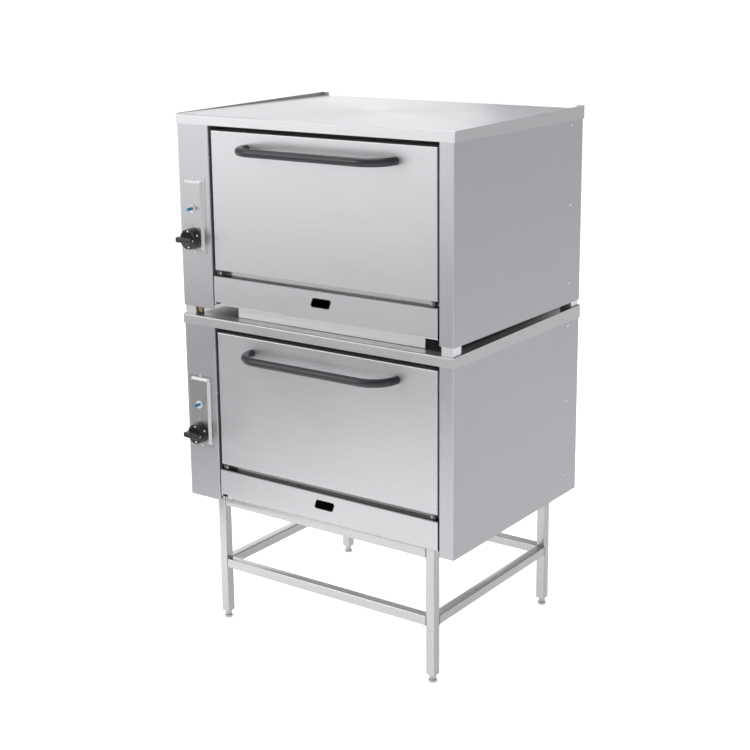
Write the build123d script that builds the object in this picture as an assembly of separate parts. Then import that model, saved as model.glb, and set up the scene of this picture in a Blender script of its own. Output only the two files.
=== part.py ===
from build123d import *
from math import cos, pi, radians, sin, tan
import os

# Two-deck gas oven on a tubular stand, in millimetres.
# X runs to the right from the middle of the body, Y runs back from the door faces until the
# export moves it to the origin, and Z runs up. A deck's own heights start at the bottom edge
# of its side panels. The origin is on the floor, in the middle of the overall footprint.

# Body of one deck
body_width = 1000.0
body_depth = 733.0
casing_sheet = 1.2
frame_sheet = 2.5
liner_sheet = 1.5
bend_radius = 2.0
casing_return = 45.0
rear_return = 30.0
column_width = 124.0
post_width = 49.5
casing_flange = 45.0

# Lid
lid_overhang = 2.0
lid_skirt = 30.0
lid_front_radius = 3.0
lip_rise_front = 1.0
lip_rise_back = 11.0
lip_tab = 27.0
lid_relief = 7.0
panel_gap = 0.8
door_head_gap = 14.0
return_foot_gap = 1.0

# Base pan and its front skirt
pan_height = 13.0
pan_side_gap = 1.8
pan_front_depth = 30.0
skirt_gap = 7.0
skirt_left_inset = 49.0
skirt_right_inset = 24.0
skirt_drop = 27.0
skirt_band = 10.0
skirt_band_gap = 2.0

# Stand
deck_foot_height = 28.0
deck_foot_size = 42.0
deck_foot_wall = 3.0
deck_foot_inset = 3.0
tube_size = 30.0
tube_wall = 1.5
tube_corner = 2.0
stand_left_inset = 106.0
stand_right_inset = 71.0
stand_front = 8.0
stand_back_inset = 39.0
stand_height = 420.0
lower_rail_height = 178.0

# Levelling feet
foot_reach = 25.0
foot_pad_radius = 13.0
foot_pad_height = 7.0
foot_stud_radius = 5.0
foot_stud_length = 58.0
foot_hex_across = 17.0
foot_hex_height = 6.0
foot_flats = 12
thread_gap = 0.05
leg_end_plate = 4.0

# Door opening, door and its pivots
door_left_gap = 11.0
door_right_gap = 5.5
door_bottom = 125.0
door_height = 427.0
door_depth = 36.0
door_sheet = 1.2
door_edge_radius = 3.0
door_inner_sheet = 1.2
door_plug_depth = 9.0
door_plug_taper = 8.0
door_plug_gap = 12.0
door_pad_gap = 1.0
pivot_depth = 8.0
pivot_drop = 9.3
pivot_radius = 4.0
pivot_gap = 0.05
ear_radius = 7.0
ear_width = 8.0
ear_inset = 8.0
ear_flats = 12
bracket_width = 6.0
bracket_gap = 1.0

# Handle
handle_side_inset = 137.5
handle_standoff = 80.0
handle_diameter = 25.0
handle_bend = 75.0
handle_drop = 47.0
handle_flats = 12

# Front frame, sill and seal
sill_drop = 22.0
sill_depth = 26.0
sill_lip = 18.0
sill_notch_width = 44.0
seal_width = 9.0
seal_thickness = 3.5
seal_margin = 4.0
seal_gap = 0.5

# Fascia below the door
fascia_rise = 4.0
fascia_side_gap = 4.5
fascia_bend = 3.0
fascia_overlap = 10.0
slot_width = 68.0
slot_height = 27.0
slot_slant = 10.0
slot_radius = 6.0
slot_rise = 40.5
drain_notch_width = 20.0
drain_notch_height = 9.0
drain_notch_inset = 6.0

# Oven chamber
door_side_lap = 45.0
door_top_lap = 17.0
cavity_top_gap = 3.5
chamber_back_gap = 43.0
support_height = 110.0
support_width = 20.0
hearth_thickness = 8.0
hearth_gap = 2.0
hearth_slot_length = 70.0
hearth_slot_width = 10.0
hearth_slot_pitch = 118.0
hearth_slot_count = 5
hearth_slot_inset = 26.0
guide_rise = 120.0
guide_pitch = 110.0
guide_width = 15.0
pad_gap = 1.0
pad_lid_gap = 4.0
pad_right_gap = 5.0

# Oven rack
rack_frame_diameter = 8.0
rack_wire_diameter = 5.0
rack_side_gap = 6.0
rack_front_gap = 22.3
rack_back_gap = 14.0
rack_corner = 20.0
rack_wire_count = 11
rack_flats = 6

# Flue
flue_width = 160.0
flue_height = 40.0
flue_drop = 49.0
flue_flange = 18.0

# Rear vents
vent_length = 90.0
vent_height = 6.0
vent_pitch = 16.0
vent_count = 5
vent_bottom = 150.0
vent_inset = 110.0

# Control plate
control_inset = 58.0
plate_width = 93.0
plate_bottom = 169.0
plate_height = 236.0
plate_rim = 6.5
plate_rim_end = 10.0
plate_slope = 7.0
plate_raise = 8.0
plate_corner = 4.0
aperture_width = 60.0
aperture_margin = 24.0

# Temperature knob, its plunger and the gas valve
knob_rise = 48.0
knob_radius = 33.0
knob_flats = 24
knob_front_radius = 31.0
knob_depth = 22.0
knob_float = 5.2
knob_edge = 2.0
grip_length = 64.0
grip_width = 17.0
grip_depth = 20.0
grip_edge = 2.0
grip_corner = 6.0
stem_radius = 3.0
stem_length = 11.0
plunger_radius = 6.0
plunger_front = 4.8
plunger_back = 10.0
running_gap = 0.05
valve_size = 50.0
valve_front = 20.0
valve_back = 74.0
valve_boss_radius = 12.0
valve_boss_depth = 20.0
valve_neck_radius = 10.0
valve_flats = 10
plate_hole_gap = 2.0

# Thermostat bulb and its capillary
capillary_radius = 1.5
capillary_drop = 85.0
capillary_y = 130.0
capillary_flats = 6
bulb_radius = 4.0
bulb_length = 90.0
bulb_wall_gap = 12.0
capillary_hole = 4.0

# Igniter and its push button
igniter_rise = 140.0
bezel_radius = 13.0
bezel_height = 3.0
bezel_flats = 16
igniter_radius = 9.0
igniter_back = 45.0
button_radius = 5.0
button_front = 23.0
button_back = 20.0
button_travel_room = 8.0

# Burner
burner_z = 62.0
burner_radius = 18.0
burner_side_gap = 200.0
burner_front = 110.0
burner_back_gap = 80.0
burner_cross_offset = 40.0
burner_flats = 10
venturi_radius = 12.0
venturi_mouth = 15.0
venturi_reach = 30.0
burner_foot_width = 30.0
burner_foot_thickness = 3.0

# Gas line
gas_pipe_radius = 7.5
gas_feed_radius = 5.0
gas_pipe_flats = 8
gas_elbow_wall = 2.5
gas_z = 60.0
gas_inlet_radius = 10.5
gas_inlet_length = 25.0
gas_nut_across = 27.0
gas_nut_height = 8.0
gas_hole_gap = 1.5
gas_feed_offset = 11.0

# Casing screws
screw_head_radius = 4.5
screw_head_height = 2.2
screw_head_slope = 1.5
screw_shank_radius = 2.0
screw_shank_length = 4.5
screw_hole_gap = 0.3
screw_flats = 6
side_screw_inset = 75.0
side_screw_bottom = 67.0
side_screw_top_gap = 41.0
plate_screw_inset = 4.6

# What follows from the sizes above
half_width = body_width / 2
column_edge = -half_width + column_width
post_edge = half_width - post_width
door_left = column_edge + door_left_gap
door_right = post_edge - door_right_gap
door_centre = (door_left + door_right) / 2
door_top = door_bottom + door_height
deck_height = door_top + door_head_gap + lid_skirt
pivot_z = door_bottom - pivot_drop
cavity_left = door_left + door_side_lap
cavity_right = door_right - door_side_lap
cavity_width = cavity_right - cavity_left
cavity_floor = door_bottom
cavity_top = door_top - door_top_lap
cavity_back = body_depth - chamber_back_gap
liner_top = cavity_top + cavity_top_gap + liner_sheet
pad_top = deck_height - pad_lid_gap
guide_heights = (support_height + guide_rise, support_height + guide_rise + guide_pitch)
flue_bottom = cavity_top - flue_drop
vent_offset = cavity_width / 2 - vent_inset
plate_face = -casing_sheet - plate_raise
lid_underside = deck_height - casing_sheet
handle_z = door_top - handle_drop
handle_left = door_left + handle_side_inset
handle_right = door_right - handle_side_inset
frame_depth = door_depth + door_inner_sheet + seal_gap + seal_thickness
frame_back = frame_depth + frame_sheet
frame_bottom = door_bottom - sill_drop
rack_front = frame_back + rack_front_gap
rack_back = cavity_back - rack_back_gap
control_x = -half_width + control_inset
plate_top = plate_bottom + plate_height
knob_z = plate_bottom + knob_rise
igniter_z = plate_bottom + igniter_rise
capillary_z = cavity_top - capillary_drop
burner_half_span = cavity_width / 2 - burner_side_gap
burner_back = cavity_back - burner_back_gap
burner_cross = burner_front + burner_cross_offset
inlet_x = control_x - gas_feed_offset
side_screw_y = body_depth - side_screw_inset
side_screw_top = deck_height - side_screw_top_gap
side_screw_heights = (side_screw_bottom, (side_screw_bottom + side_screw_top) / 2,
                      side_screw_top)
plate_screw_heights = (plate_bottom + plate_screw_inset, plate_top - plate_screw_inset)
stand_left = -half_width + stand_left_inset
stand_right = half_width - stand_right_inset
stand_width = stand_right - stand_left
stand_depth = body_depth - stand_front - stand_back_inset
skirt_depth = stand_front + tube_size + skirt_gap
skirt_left = stand_left + tube_size + skirt_left_inset
skirt_right = stand_right - tube_size - skirt_right_inset
fascia_top = frame_bottom + fascia_rise
fascia_bottom = pan_height + frame_sheet
slot_bottom = fascia_bottom + slot_rise
lower_deck_z = stand_height - pan_height
upper_deck_z = lower_deck_z + deck_height + deck_foot_height
front_reach = handle_standoff + handle_diameter / 2
rear_reach = gas_nut_height + gas_inlet_length - casing_sheet
footprint_depth = front_reach + body_depth + rear_reach
origin_depth = footprint_depth / 2 - front_reach


def corner_points(before, here, after, radius):
    """Start, middle and end of the round of this radius at a corner."""
    back = (before - here).normalized()
    ahead = (after - here).normalized()
    half = radians(back.get_angle(ahead)) / 2
    reach = radius / tan(half)
    centre = here + (back + ahead).normalized() * (radius / sin(half))
    middle = centre + (here - centre).normalized() * radius
    return here + back * reach, middle, here + ahead * reach


def rounded_face(corners, radii):
    """Flat face through 3-D corners, each rounded by its own radius with two short flats."""
    count = len(corners)
    rounds = []
    for i, here in enumerate(corners):
        if radii[i] > 0:
            rounds.append(corner_points(corners[i - 1], here, corners[(i + 1) % count], radii[i]))
        else:
            rounds.append((here, None, here))
    edges = []
    for i, (start, middle, end) in enumerate(rounds):
        if middle is not None:
            edges.append(Edge.make_line(start, middle))
            edges.append(Edge.make_line(middle, end))
        edges.append(Edge.make_line(end, rounds[(i + 1) % count][0]))
    return Face(Wire(edges))


AXES = {"x": (Vector(0, 1, 0), Vector(0, 0, 1), Vector(1, 0, 0)),
        "y": (Vector(1, 0, 0), Vector(0, 0, 1), Vector(0, 1, 0)),
        "z": (Vector(1, 0, 0), Vector(0, 1, 0), Vector(0, 0, 1))}


def prism(axis, low, high, points, radii=0.0):
    """Outline in the plane across an axis, carried along that axis from low to high."""
    across, up, along = AXES[axis]
    corners = [across * a + up * b + along * low for a, b in points]
    rounds = radii if isinstance(radii, (list, tuple)) else [radii] * len(points)
    return extrude(rounded_face(corners, rounds), amount=high - low, dir=along)


def rectangle(a0, a1, b0, b1):
    return [(a0, b0), (a1, b0), (a1, b1), (a0, b1)]


def block(x0, x1, y0, y1, z0, z1):
    return prism("z", z0, z1, rectangle(x0, x1, y0, y1))


def folded_sheet(axis, low, high, path, sheet, bend=bend_radius):
    """Sheet folded along an open path, with its thickness on the left of the path."""
    points = [Vector(a, b) for a, b in path]
    steps = [(q - p).normalized() for p, q in zip(points[:-1], points[1:])]
    lefts = [Vector(-s.Y, s.X) for s in steps]
    outer, inner, outer_radii, inner_radii = [], [], [], []
    for i, here in enumerate(points):
        if 0 < i < len(points) - 1:
            both = lefts[i - 1] + lefts[i]
            shift = both * (sheet / (1 + lefts[i - 1].dot(lefts[i])))
            turn = steps[i - 1].cross(steps[i]).Z
            outer_radii.append(bend + sheet if turn > 0 else bend)
            inner_radii.append(bend if turn > 0 else bend + sheet)
        else:
            shift = lefts[min(i, len(lefts) - 1)] * sheet
            outer_radii.append(0.0)
            inner_radii.append(0.0)
        outer.append((here.X, here.Y))
        inner.append((here.X + shift.X, here.Y + shift.Y))
    return prism(axis, low, high, outer + inner[::-1], outer_radii + inner_radii[::-1])


def rod(axis, low, high, centre, radius):
    """Round bar along an axis, centred at the other two coordinates."""
    across, up, along = AXES[axis]
    start = across * centre[0] + up * centre[1] + along * low
    return extrude(Plane(start, x_dir=across, z_dir=along) * Circle(radius), amount=high - low)


def turned(axis, centre, profile):
    """Solid turned about an axis from (position, radius) points of half its section."""
    across, up, along = AXES[axis]
    start = across * centre[0] + up * centre[1]
    corners = [start + along * position + up * radius for position, radius in profile]
    return revolve(rounded_face(corners, [0.0] * len(corners)), Axis(start, along))


def solid_between(outlines):
    """Closed solid with flat sides between outlines that have as many corners each."""
    faces = [Face(Wire.make_polygon(outlines[0])), Face(Wire.make_polygon(outlines[-1]))]
    for lower, upper in zip(outlines[:-1], outlines[1:]):
        for i in range(len(lower)):
            j = (i + 1) % len(lower)
            faces.append(Face(Wire.make_polygon([lower[i], lower[j], upper[j], upper[i]])))
    return Solid(Shell(faces))


def faceted(axis, centre, sections, sides):
    """Round form drawn with flats: (position, radius) sections joined by straight sides."""
    across, up, along = AXES[axis]
    middle = across * centre[0] + up * centre[1]
    outlines = []
    for position, radius in sections:
        corners = []
        for i in range(sides):
            angle = 2 * pi * i / sides
            corners.append(middle + along * position + across * (radius * cos(angle))
                           + up * (radius * sin(angle)))
        outlines.append(corners)
    return solid_between(outlines)


def hexagon(axis, low, high, centre, across_flats):
    """Hexagonal nut blank along an axis."""
    corner = across_flats / 2 / cos(radians(30))
    return faceted(axis, centre, [(low, corner), (high, corner)], 6)


def mitred_rod(path, radius, sides):
    """Bar along a path of straight lines, with flats round it and mitred corners."""
    section = Plane(path @ 0, z_dir=path % 0) * RegularPolygon(radius, sides)
    return sweep(section, path=path, transition=Transition.RIGHT)


def pipe_run(points, radius, sides):
    """Straight pipes joined by square elbow fittings."""
    run = None
    size = 2 * (radius + gas_elbow_wall)
    for i, (start, end) in enumerate(zip(points[:-1], points[1:])):
        along = Vector(*end) - Vector(*start)
        pipe = extrude(Plane(Vector(*start), z_dir=along) * RegularPolygon(radius, sides),
                       amount=along.length)
        run = pipe if run is None else run + pipe
        if i > 0:
            run += Pos(*start) * Box(size, size, size)
    return run


def cut_rectangle(a0, a1, b0, b1, cut):
    """Rectangle with its four corners cut straight."""
    return [(a0 + cut, b0), (a1 - cut, b0), (a1, b0 + cut), (a1, b1 - cut),
            (a1 - cut, b1), (a0 + cut, b1), (a0, b1 - cut), (a0, b0 + cut)]


def square_tube(axis, low, high, a0, b0, size, wall, corner):
    """Open square tube along an axis, its outer corner at a0, b0."""
    outer = prism(axis, low, high, cut_rectangle(a0, a0 + size, b0, b0 + size, corner))
    inside = rectangle(a0 + wall, a0 + size - wall, b0 + wall, b0 + size - wall)
    return outer - prism(axis, low, high, inside)


def screw_hole(axis, low, high, centre):
    radius = screw_shank_radius + screw_hole_gap
    return faceted(axis, centre, [(low, radius), (high, radius)], screw_flats)


def make_top_cover():
    """Lid: top sheet with a rounded front fold, side lips that rise to the back, rear tabs."""
    reach = half_width + lid_overhang
    back = body_depth + lid_overhang
    skirt_bottom = deck_height - lid_skirt
    sheet = folded_sheet("x", -reach, reach,
                         [(back, deck_height), (-lid_overhang, deck_height),
                          (-lid_overhang, skirt_bottom)], casing_sheet, lid_front_radius)
    lip_top = deck_height + lip_rise_back
    lip = [(-lid_overhang, skirt_bottom), (back, skirt_bottom), (back, lip_top),
           (lid_front_radius, deck_height + lip_rise_front),
           (-lid_overhang, deck_height - lid_front_radius)]
    cover = sheet
    for side in (-1, 1):
        edges = sorted((side * reach, side * (reach - casing_sheet)))
        cover += prism("x", edges[0], edges[1], lip)
        tab = sorted((side * reach, side * (reach - lip_tab)))
        cover += block(tab[0], tab[1], back - casing_sheet, back, skirt_bottom, lip_top)
    return cover


def make_casing(side, front_width):
    """Side panel with a folded front, a return beside the door and a rear return."""
    outer = side * half_width
    front_edge = outer - side * front_width
    path = [(outer - side * rear_return, body_depth), (outer, body_depth), (outer, 0),
            (front_edge, 0), (front_edge, casing_return)]
    if side > 0:
        path = path[::-1]
    panel = folded_sheet("z", 0, lid_underside, path, casing_sheet)
    flange = sorted((outer - side * casing_sheet, outer - side * casing_flange))
    for top in (casing_sheet, lid_underside):
        panel += block(flange[0], flange[1], lid_relief, body_depth - lid_relief,
                       top - casing_sheet, top)
    relief = sorted((outer, front_edge))
    panel -= block(relief[0], relief[1], 0, lid_relief - panel_gap,
                   lid_underside - lid_front_radius, lid_underside)
    fold = sorted((front_edge, front_edge + side * casing_sheet))
    panel -= block(fold[0], fold[1], casing_sheet + bend_radius, casing_return,
                   0, pan_height + return_foot_gap)
    sheet = sorted((outer, outer - side * casing_sheet))
    for z in side_screw_heights:
        panel -= screw_hole("x", sheet[0], sheet[1], (side_screw_y, z))
    return panel


def make_left_casing():
    """Left side panel with the control column and its aperture."""
    aperture = rectangle(control_x - aperture_width / 2, control_x + aperture_width / 2,
                         plate_bottom + aperture_margin, plate_top - aperture_margin)
    casing = make_casing(-1, column_width) - prism("y", 0, casing_sheet, aperture)
    for z in plate_screw_heights:
        casing -= screw_hole("y", 0, casing_sheet, (control_x, z))
    return casing


def make_right_casing():
    return make_casing(1, post_width)


def make_back_panel():
    """Rear sheet with vents, a gas hole and the rectangular flue outlet."""
    back = body_depth - casing_sheet
    front = back - casing_sheet
    reach = half_width - casing_sheet - bend_radius - panel_gap
    panel = block(-reach, reach, front, back, pan_height + frame_sheet,
                  lid_underside - panel_gap)
    for side in (-1, 1):
        for i in range(vent_count):
            middle = door_centre + side * vent_offset
            low = vent_bottom + i * vent_pitch
            vent = rectangle(middle - vent_length / 2, middle + vent_length / 2,
                             low, low + vent_height)
            panel -= prism("y", front, back, vent)
    gas_hole = gas_pipe_radius + gas_hole_gap
    panel -= faceted("y", (inlet_x, gas_z), [(front, gas_hole), (back, gas_hole)],
                     gas_pipe_flats)
    outer = rectangle(door_centre - flue_width / 2, door_centre + flue_width / 2,
                      flue_bottom, flue_bottom + flue_height)
    flange = rectangle(door_centre - flue_width / 2 - flue_flange,
                       door_centre + flue_width / 2 + flue_flange,
                       flue_bottom - flue_flange, flue_bottom + flue_height + flue_flange)
    inner = rectangle(door_centre - flue_width / 2 + liner_sheet,
                      door_centre + flue_width / 2 - liner_sheet,
                      flue_bottom + liner_sheet, flue_bottom + flue_height - liner_sheet)
    duct = prism("y", cavity_back, back, outer) + prism("y", back, body_depth, flange)
    return panel + duct - prism("y", cavity_back, body_depth, inner)


def make_base_pan():
    """Folded pan under the deck with a front skirt that closes the space below."""
    reach = half_width - casing_sheet - pan_side_gap
    top = pan_height + frame_sheet
    front = casing_return + pan_side_gap
    pan = folded_sheet("y", front, body_depth - 2 * casing_sheet - pan_side_gap,
                       [(reach, casing_sheet), (reach, top), (-reach, top),
                        (-reach, casing_sheet)], frame_sheet)
    pan += block(column_edge + pan_side_gap, post_edge - pan_side_gap, pan_front_depth, front,
                 pan_height, top)
    left = stand_left + tube_size + skirt_band_gap
    right = stand_right - tube_size - skirt_band_gap
    band = pan_height - skirt_band
    skirt = [(left, band), (skirt_left, band), (skirt_left, -skirt_drop),
             (skirt_right, -skirt_drop), (skirt_right, band), (right, band),
             (right, pan_height), (left, pan_height)]
    return pan + prism("y", skirt_depth, skirt_depth + casing_sheet, skirt)


def make_front_frame():
    """Frame round the oven mouth, with a sill lip under the door."""
    back = frame_back
    ring = prism("y", frame_depth, back, rectangle(column_edge, post_edge, frame_bottom,
                                                    lid_underside - panel_gap))
    sill = folded_sheet("x", column_edge, post_edge,
                        [(sill_depth, frame_bottom + sill_lip), (sill_depth, frame_bottom),
                         (back, frame_bottom)], frame_sheet)
    mouth = prism("y", frame_depth, back, rectangle(cavity_left, cavity_right, cavity_floor,
                                                     cavity_top))
    notch = block(column_edge, column_edge + door_left_gap + sill_notch_width, sill_depth,
                  sill_depth + frame_sheet, frame_bottom + frame_sheet + bend_radius,
                  frame_bottom + sill_lip)
    return ring + sill - mouth - notch


def make_fascia():
    """Panel below the door, with the slanted lighting slot and a drain notch."""
    left = column_edge + fascia_side_gap
    right = post_edge - fascia_side_gap
    foot = pan_front_depth + fascia_overlap
    panel = folded_sheet("x", left, right,
                         [(sill_depth, fascia_top), (0, fascia_top), (0, fascia_bottom),
                          (foot, fascia_bottom)], casing_sheet, fascia_bend)
    half = slot_width / 2
    lean = slot_slant / 2
    slot = [(door_centre - half - lean, slot_bottom), (door_centre + half - lean, slot_bottom),
            (door_centre + half + lean, slot_bottom + slot_height),
            (door_centre - half + lean, slot_bottom + slot_height)]
    panel -= prism("y", 0, casing_sheet, slot, slot_radius)
    notch_left = left + drain_notch_inset
    panel -= block(notch_left, notch_left + drain_notch_width, 0, pan_front_depth,
                   fascia_bottom, fascia_bottom + drain_notch_height)
    return panel


wall_holes = ((capillary_y, capillary_z, capillary_hole),
              (burner_cross, burner_z, venturi_mouth + gas_hole_gap))


def make_oven_liner():
    """Enamelled chamber with hearth supports, rack guides, flue mouth and pipe holes."""
    left = cavity_left - liner_sheet
    right = cavity_right + liner_sheet
    floor = pan_height + frame_sheet
    front = frame_back
    liner = folded_sheet("y", front, cavity_back,
                         [(right, floor), (right, liner_top), (left, liner_top),
                          (left, floor)], liner_sheet)
    liner += block(left, right, cavity_back - liner_sheet, cavity_back, floor, liner_top)
    for side, wall in ((1, cavity_left), (-1, cavity_right)):
        for height, width in [(support_height, support_width)] + [(h, guide_width)
                                                                  for h in guide_heights]:
            ledge = sorted((wall, wall + side * width))
            web = sorted((wall, wall + side * liner_sheet))
            liner += block(ledge[0], ledge[1], front, cavity_back, height - liner_sheet, height)
            liner += block(web[0], web[1], front, cavity_back, height - width, height)
    flue = rectangle(door_centre - flue_width / 2 + liner_sheet,
                     door_centre + flue_width / 2 - liner_sheet,
                     flue_bottom + liner_sheet, flue_bottom + flue_height - liner_sheet)
    liner -= prism("y", cavity_back - liner_sheet, cavity_back, flue)
    for y, z, radius in wall_holes:
        liner -= faceted("x", (y, z), [(left, radius), (cavity_left + liner_sheet, radius)],
                         screw_flats)
    return liner


def make_insulation():
    """Mineral wool over the sides, the top and the back of the chamber."""
    left = column_edge + pad_gap
    right = half_width - casing_sheet - pad_right_gap
    inner_left = cavity_left - liner_sheet - pad_gap
    inner_right = cavity_right + liner_sheet + pad_gap
    inner_top = liner_top + pad_gap
    floor = pan_height + frame_sheet
    front = casing_return + pad_gap
    arch = [(left, floor), (inner_left, floor), (inner_left, inner_top),
            (inner_right, inner_top), (inner_right, floor), (right, floor),
            (right, pad_top), (left, pad_top)]
    back = body_depth - 2 * casing_sheet - pad_gap
    pad = prism("y", front, back, arch)
    pad += block(inner_left, inner_right, cavity_back + pad_gap, back, floor, inner_top)
    pad -= block(door_centre - flue_width / 2 - pad_gap, door_centre + flue_width / 2 + pad_gap,
                 cavity_back, back, flue_bottom - pad_gap, flue_bottom + flue_height + pad_gap)
    for y, z, radius in wall_holes:
        pad -= block(left, inner_left, y - radius, y + radius, z - radius, z + radius)
    return pad


def make_hearth_plate():
    """Steel deck plate with a row of heat slots down each side."""
    left = cavity_left + hearth_gap + liner_sheet
    right = cavity_right - hearth_gap - liner_sheet
    front = frame_back + hearth_gap
    back = cavity_back - liner_sheet - hearth_gap
    top = support_height + hearth_thickness
    plate = block(left, right, front, back, support_height, top)
    middle = (front + back) / 2
    for side in (-1, 1):
        x = door_centre + side * (cavity_width / 2 - support_width - hearth_slot_inset)
        for i in range(hearth_slot_count):
            y = middle + (i - (hearth_slot_count - 1) / 2) * hearth_slot_pitch
            slot = rectangle(x - hearth_slot_width / 2, x + hearth_slot_width / 2,
                             y - hearth_slot_length / 2, y + hearth_slot_length / 2)
            plate -= prism("z", support_height, top, slot)
    return plate


def make_oven_rack():
    """Wire shelf: a round-cornered frame with wires laid across it."""
    frame_radius = rack_frame_diameter / 2
    wire_radius = rack_wire_diameter / 2
    z = guide_heights[0] + frame_radius
    left = cavity_left + rack_side_gap + frame_radius
    right = cavity_right - rack_side_gap - frame_radius
    corners = [Vector(x, y, z) for x, y in rectangle(left, right, rack_front, rack_back)]
    path = rounded_face(corners, [rack_corner] * 4).outer_wire()
    frame = mitred_rod(path, frame_radius, rack_flats)
    pitch = (right - left) / (rack_wire_count + 1)
    wire_z = z + frame_radius + wire_radius / 2
    for i in range(rack_wire_count):
        x = left + (i + 1) * pitch
        frame += faceted("y", (x, wire_z), [(rack_front - frame_radius, wire_radius),
                                            (rack_back + frame_radius, wire_radius)],
                         rack_flats)
    return frame


def make_burner():
    """Two burner tubes on a cross tube, fed by a flared venturi and held on feet."""
    pan_top = pan_height + frame_sheet
    burner = faceted("x", (burner_cross, burner_z),
                     [(door_centre - burner_half_span, burner_radius),
                      (door_centre + burner_half_span, burner_radius)], burner_flats)
    for side in (-1, 1):
        x = door_centre + side * burner_half_span
        burner += faceted("y", (x, burner_z), [(burner_front, burner_radius),
                                               (burner_back, burner_radius)], burner_flats)
        for y in (burner_front + burner_foot_width, burner_back - burner_foot_width):
            burner += block(x - burner_foot_width / 2, x + burner_foot_width / 2,
                            y, y + burner_foot_thickness, pan_top, burner_z)
    mouth = cavity_left - venturi_reach
    inlet_end = door_centre - burner_half_span
    sections = [(mouth, venturi_mouth), (mouth + venturi_reach, venturi_radius),
                (inlet_end, venturi_radius)]
    return burner + faceted("x", (burner_cross, burner_z), sections, burner_flats)


def make_gas_pipe():
    """Rear inlet with its nut, the supply pipe to the valve and the feed to the burner."""
    seat = body_depth - casing_sheet
    nut_back = seat + gas_nut_height
    valve_bottom = knob_z - valve_size / 2
    middle = (valve_front + valve_back) / 2
    supply = pipe_run([(inlet_x, middle, valve_bottom), (inlet_x, middle, gas_z),
                       (inlet_x, seat, gas_z)], gas_pipe_radius, gas_pipe_flats)
    supply += hexagon("y", seat, nut_back, (inlet_x, gas_z), gas_nut_across)
    supply += rod("y", nut_back, nut_back + gas_inlet_length, (inlet_x, gas_z),
                  gas_inlet_radius)
    feed_x = control_x + gas_feed_offset
    feed_end = cavity_left - venturi_reach - bend_radius
    feed = pipe_run([(feed_x, middle, valve_bottom), (feed_x, middle, burner_z),
                     (feed_x, burner_cross, burner_z), (feed_end, burner_cross, burner_z)],
                    gas_feed_radius, gas_pipe_flats)
    return Compound(children=[supply, feed])


def make_gas_valve():
    """Thermostatic valve body, with its capillary and sensing bulb."""
    centre = (control_x, knob_z)
    half = valve_size / 2
    body = prism("y", valve_front, valve_back,
                 rectangle(control_x - half, control_x + half, knob_z - half, knob_z + half))
    boss_front = valve_front - valve_boss_depth
    body += faceted("y", centre, [(boss_front, valve_boss_radius),
                                  (valve_front, valve_boss_radius)], valve_flats)
    neck_front = plate_face + casing_sheet
    body += faceted("y", centre, [(neck_front, valve_neck_radius),
                                  (boss_front, valve_neck_radius)], valve_flats)
    bore_end = plunger_back + knob_float
    body -= rod("y", neck_front, bore_end, centre, plunger_radius + running_gap)
    bulb_x = cavity_left + bulb_wall_gap
    back = valve_back - plate_corner
    points = [(control_x, back, knob_z), (control_x, capillary_y, knob_z),
              (control_x, capillary_y, capillary_z), (bulb_x, capillary_y, capillary_z),
              (bulb_x, capillary_y + bulb_length, capillary_z)]
    capillary = mitred_rod(Polyline(*points), capillary_radius, capillary_flats)
    bulb = faceted("y", (bulb_x, capillary_z),
                   [(capillary_y + bulb_length / 2, bulb_radius),
                    (capillary_y + 3 * bulb_length / 2, bulb_radius)], screw_flats)
    return body + capillary + bulb


def make_valve_plunger():
    """Sleeve that the knob pushes in to open the pilot."""
    centre = (control_x, knob_z)
    front = plate_face - plunger_front
    sleeve = rod("y", front, plunger_back, centre, plunger_radius)
    bore = stem_length + knob_edge
    return sleeve - rod("y", front, front + bore, centre, stem_radius + running_gap)


def make_temperature_knob():
    """Round knob with a bar grip across its face and a stem behind."""
    centre = (control_x, knob_z)
    back = plate_face - knob_float
    front = back - knob_depth
    knob = faceted("y", centre, [(front, knob_front_radius - knob_edge),
                                 (front + knob_edge, knob_front_radius),
                                 (back - knob_edge, knob_radius),
                                 (back, knob_radius - knob_edge)], knob_flats)
    knob += rod("y", back, back + stem_length, centre, stem_radius)
    outlines = []
    for depth, inset in ((front, 0), (front - grip_depth + grip_edge, 0),
                         (front - grip_depth, grip_edge)):
        half_length = grip_length / 2 - inset
        half_thickness = grip_width / 2 - inset
        outline = cut_rectangle(control_x - half_length, control_x + half_length,
                                knob_z - half_thickness, knob_z + half_thickness,
                                grip_corner - inset)
        outlines.append([Vector(x, depth, z) for x, z in outline])
    grip = solid_between(outlines)
    return knob + grip


def make_control_plate():
    """Pressed plate with a raised face for the knob and the igniter."""
    left = control_x - plate_width / 2
    right = control_x + plate_width / 2
    rim = prism("y", -casing_sheet, 0,
                cut_rectangle(left, right, plate_bottom, plate_top, plate_corner))
    foot = (left + plate_rim, right - plate_rim, plate_bottom + plate_rim_end,
            plate_top - plate_rim_end)
    crown = (foot[0] + plate_slope, foot[1] - plate_slope, foot[2] + plate_slope,
             foot[3] - plate_slope)

    def step(depth, sizes, inset):
        a0, a1, b0, b1 = sizes
        outline = cut_rectangle(a0 + inset, a1 - inset, b0 + inset, b1 - inset, plate_corner)
        return [Vector(x, depth, z) for x, z in outline]

    raised = solid_between([step(-casing_sheet, foot, 0), step(plate_face, crown, 0)])
    hollow = solid_between([step(0, foot, casing_sheet),
                            step(plate_face + casing_sheet, crown, casing_sheet)])
    plate = rim + raised - hollow
    for z, radius in ((knob_z, plunger_radius + plate_hole_gap),
                      (igniter_z, igniter_radius + running_gap)):
        plate -= faceted("y", (control_x, z), [(plate_face, radius),
                                               (plate_face + casing_sheet, radius)],
                         valve_flats)
    for z in plate_screw_heights:
        plate -= screw_hole("y", -casing_sheet, 0, (control_x, z))
    return plate


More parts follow.
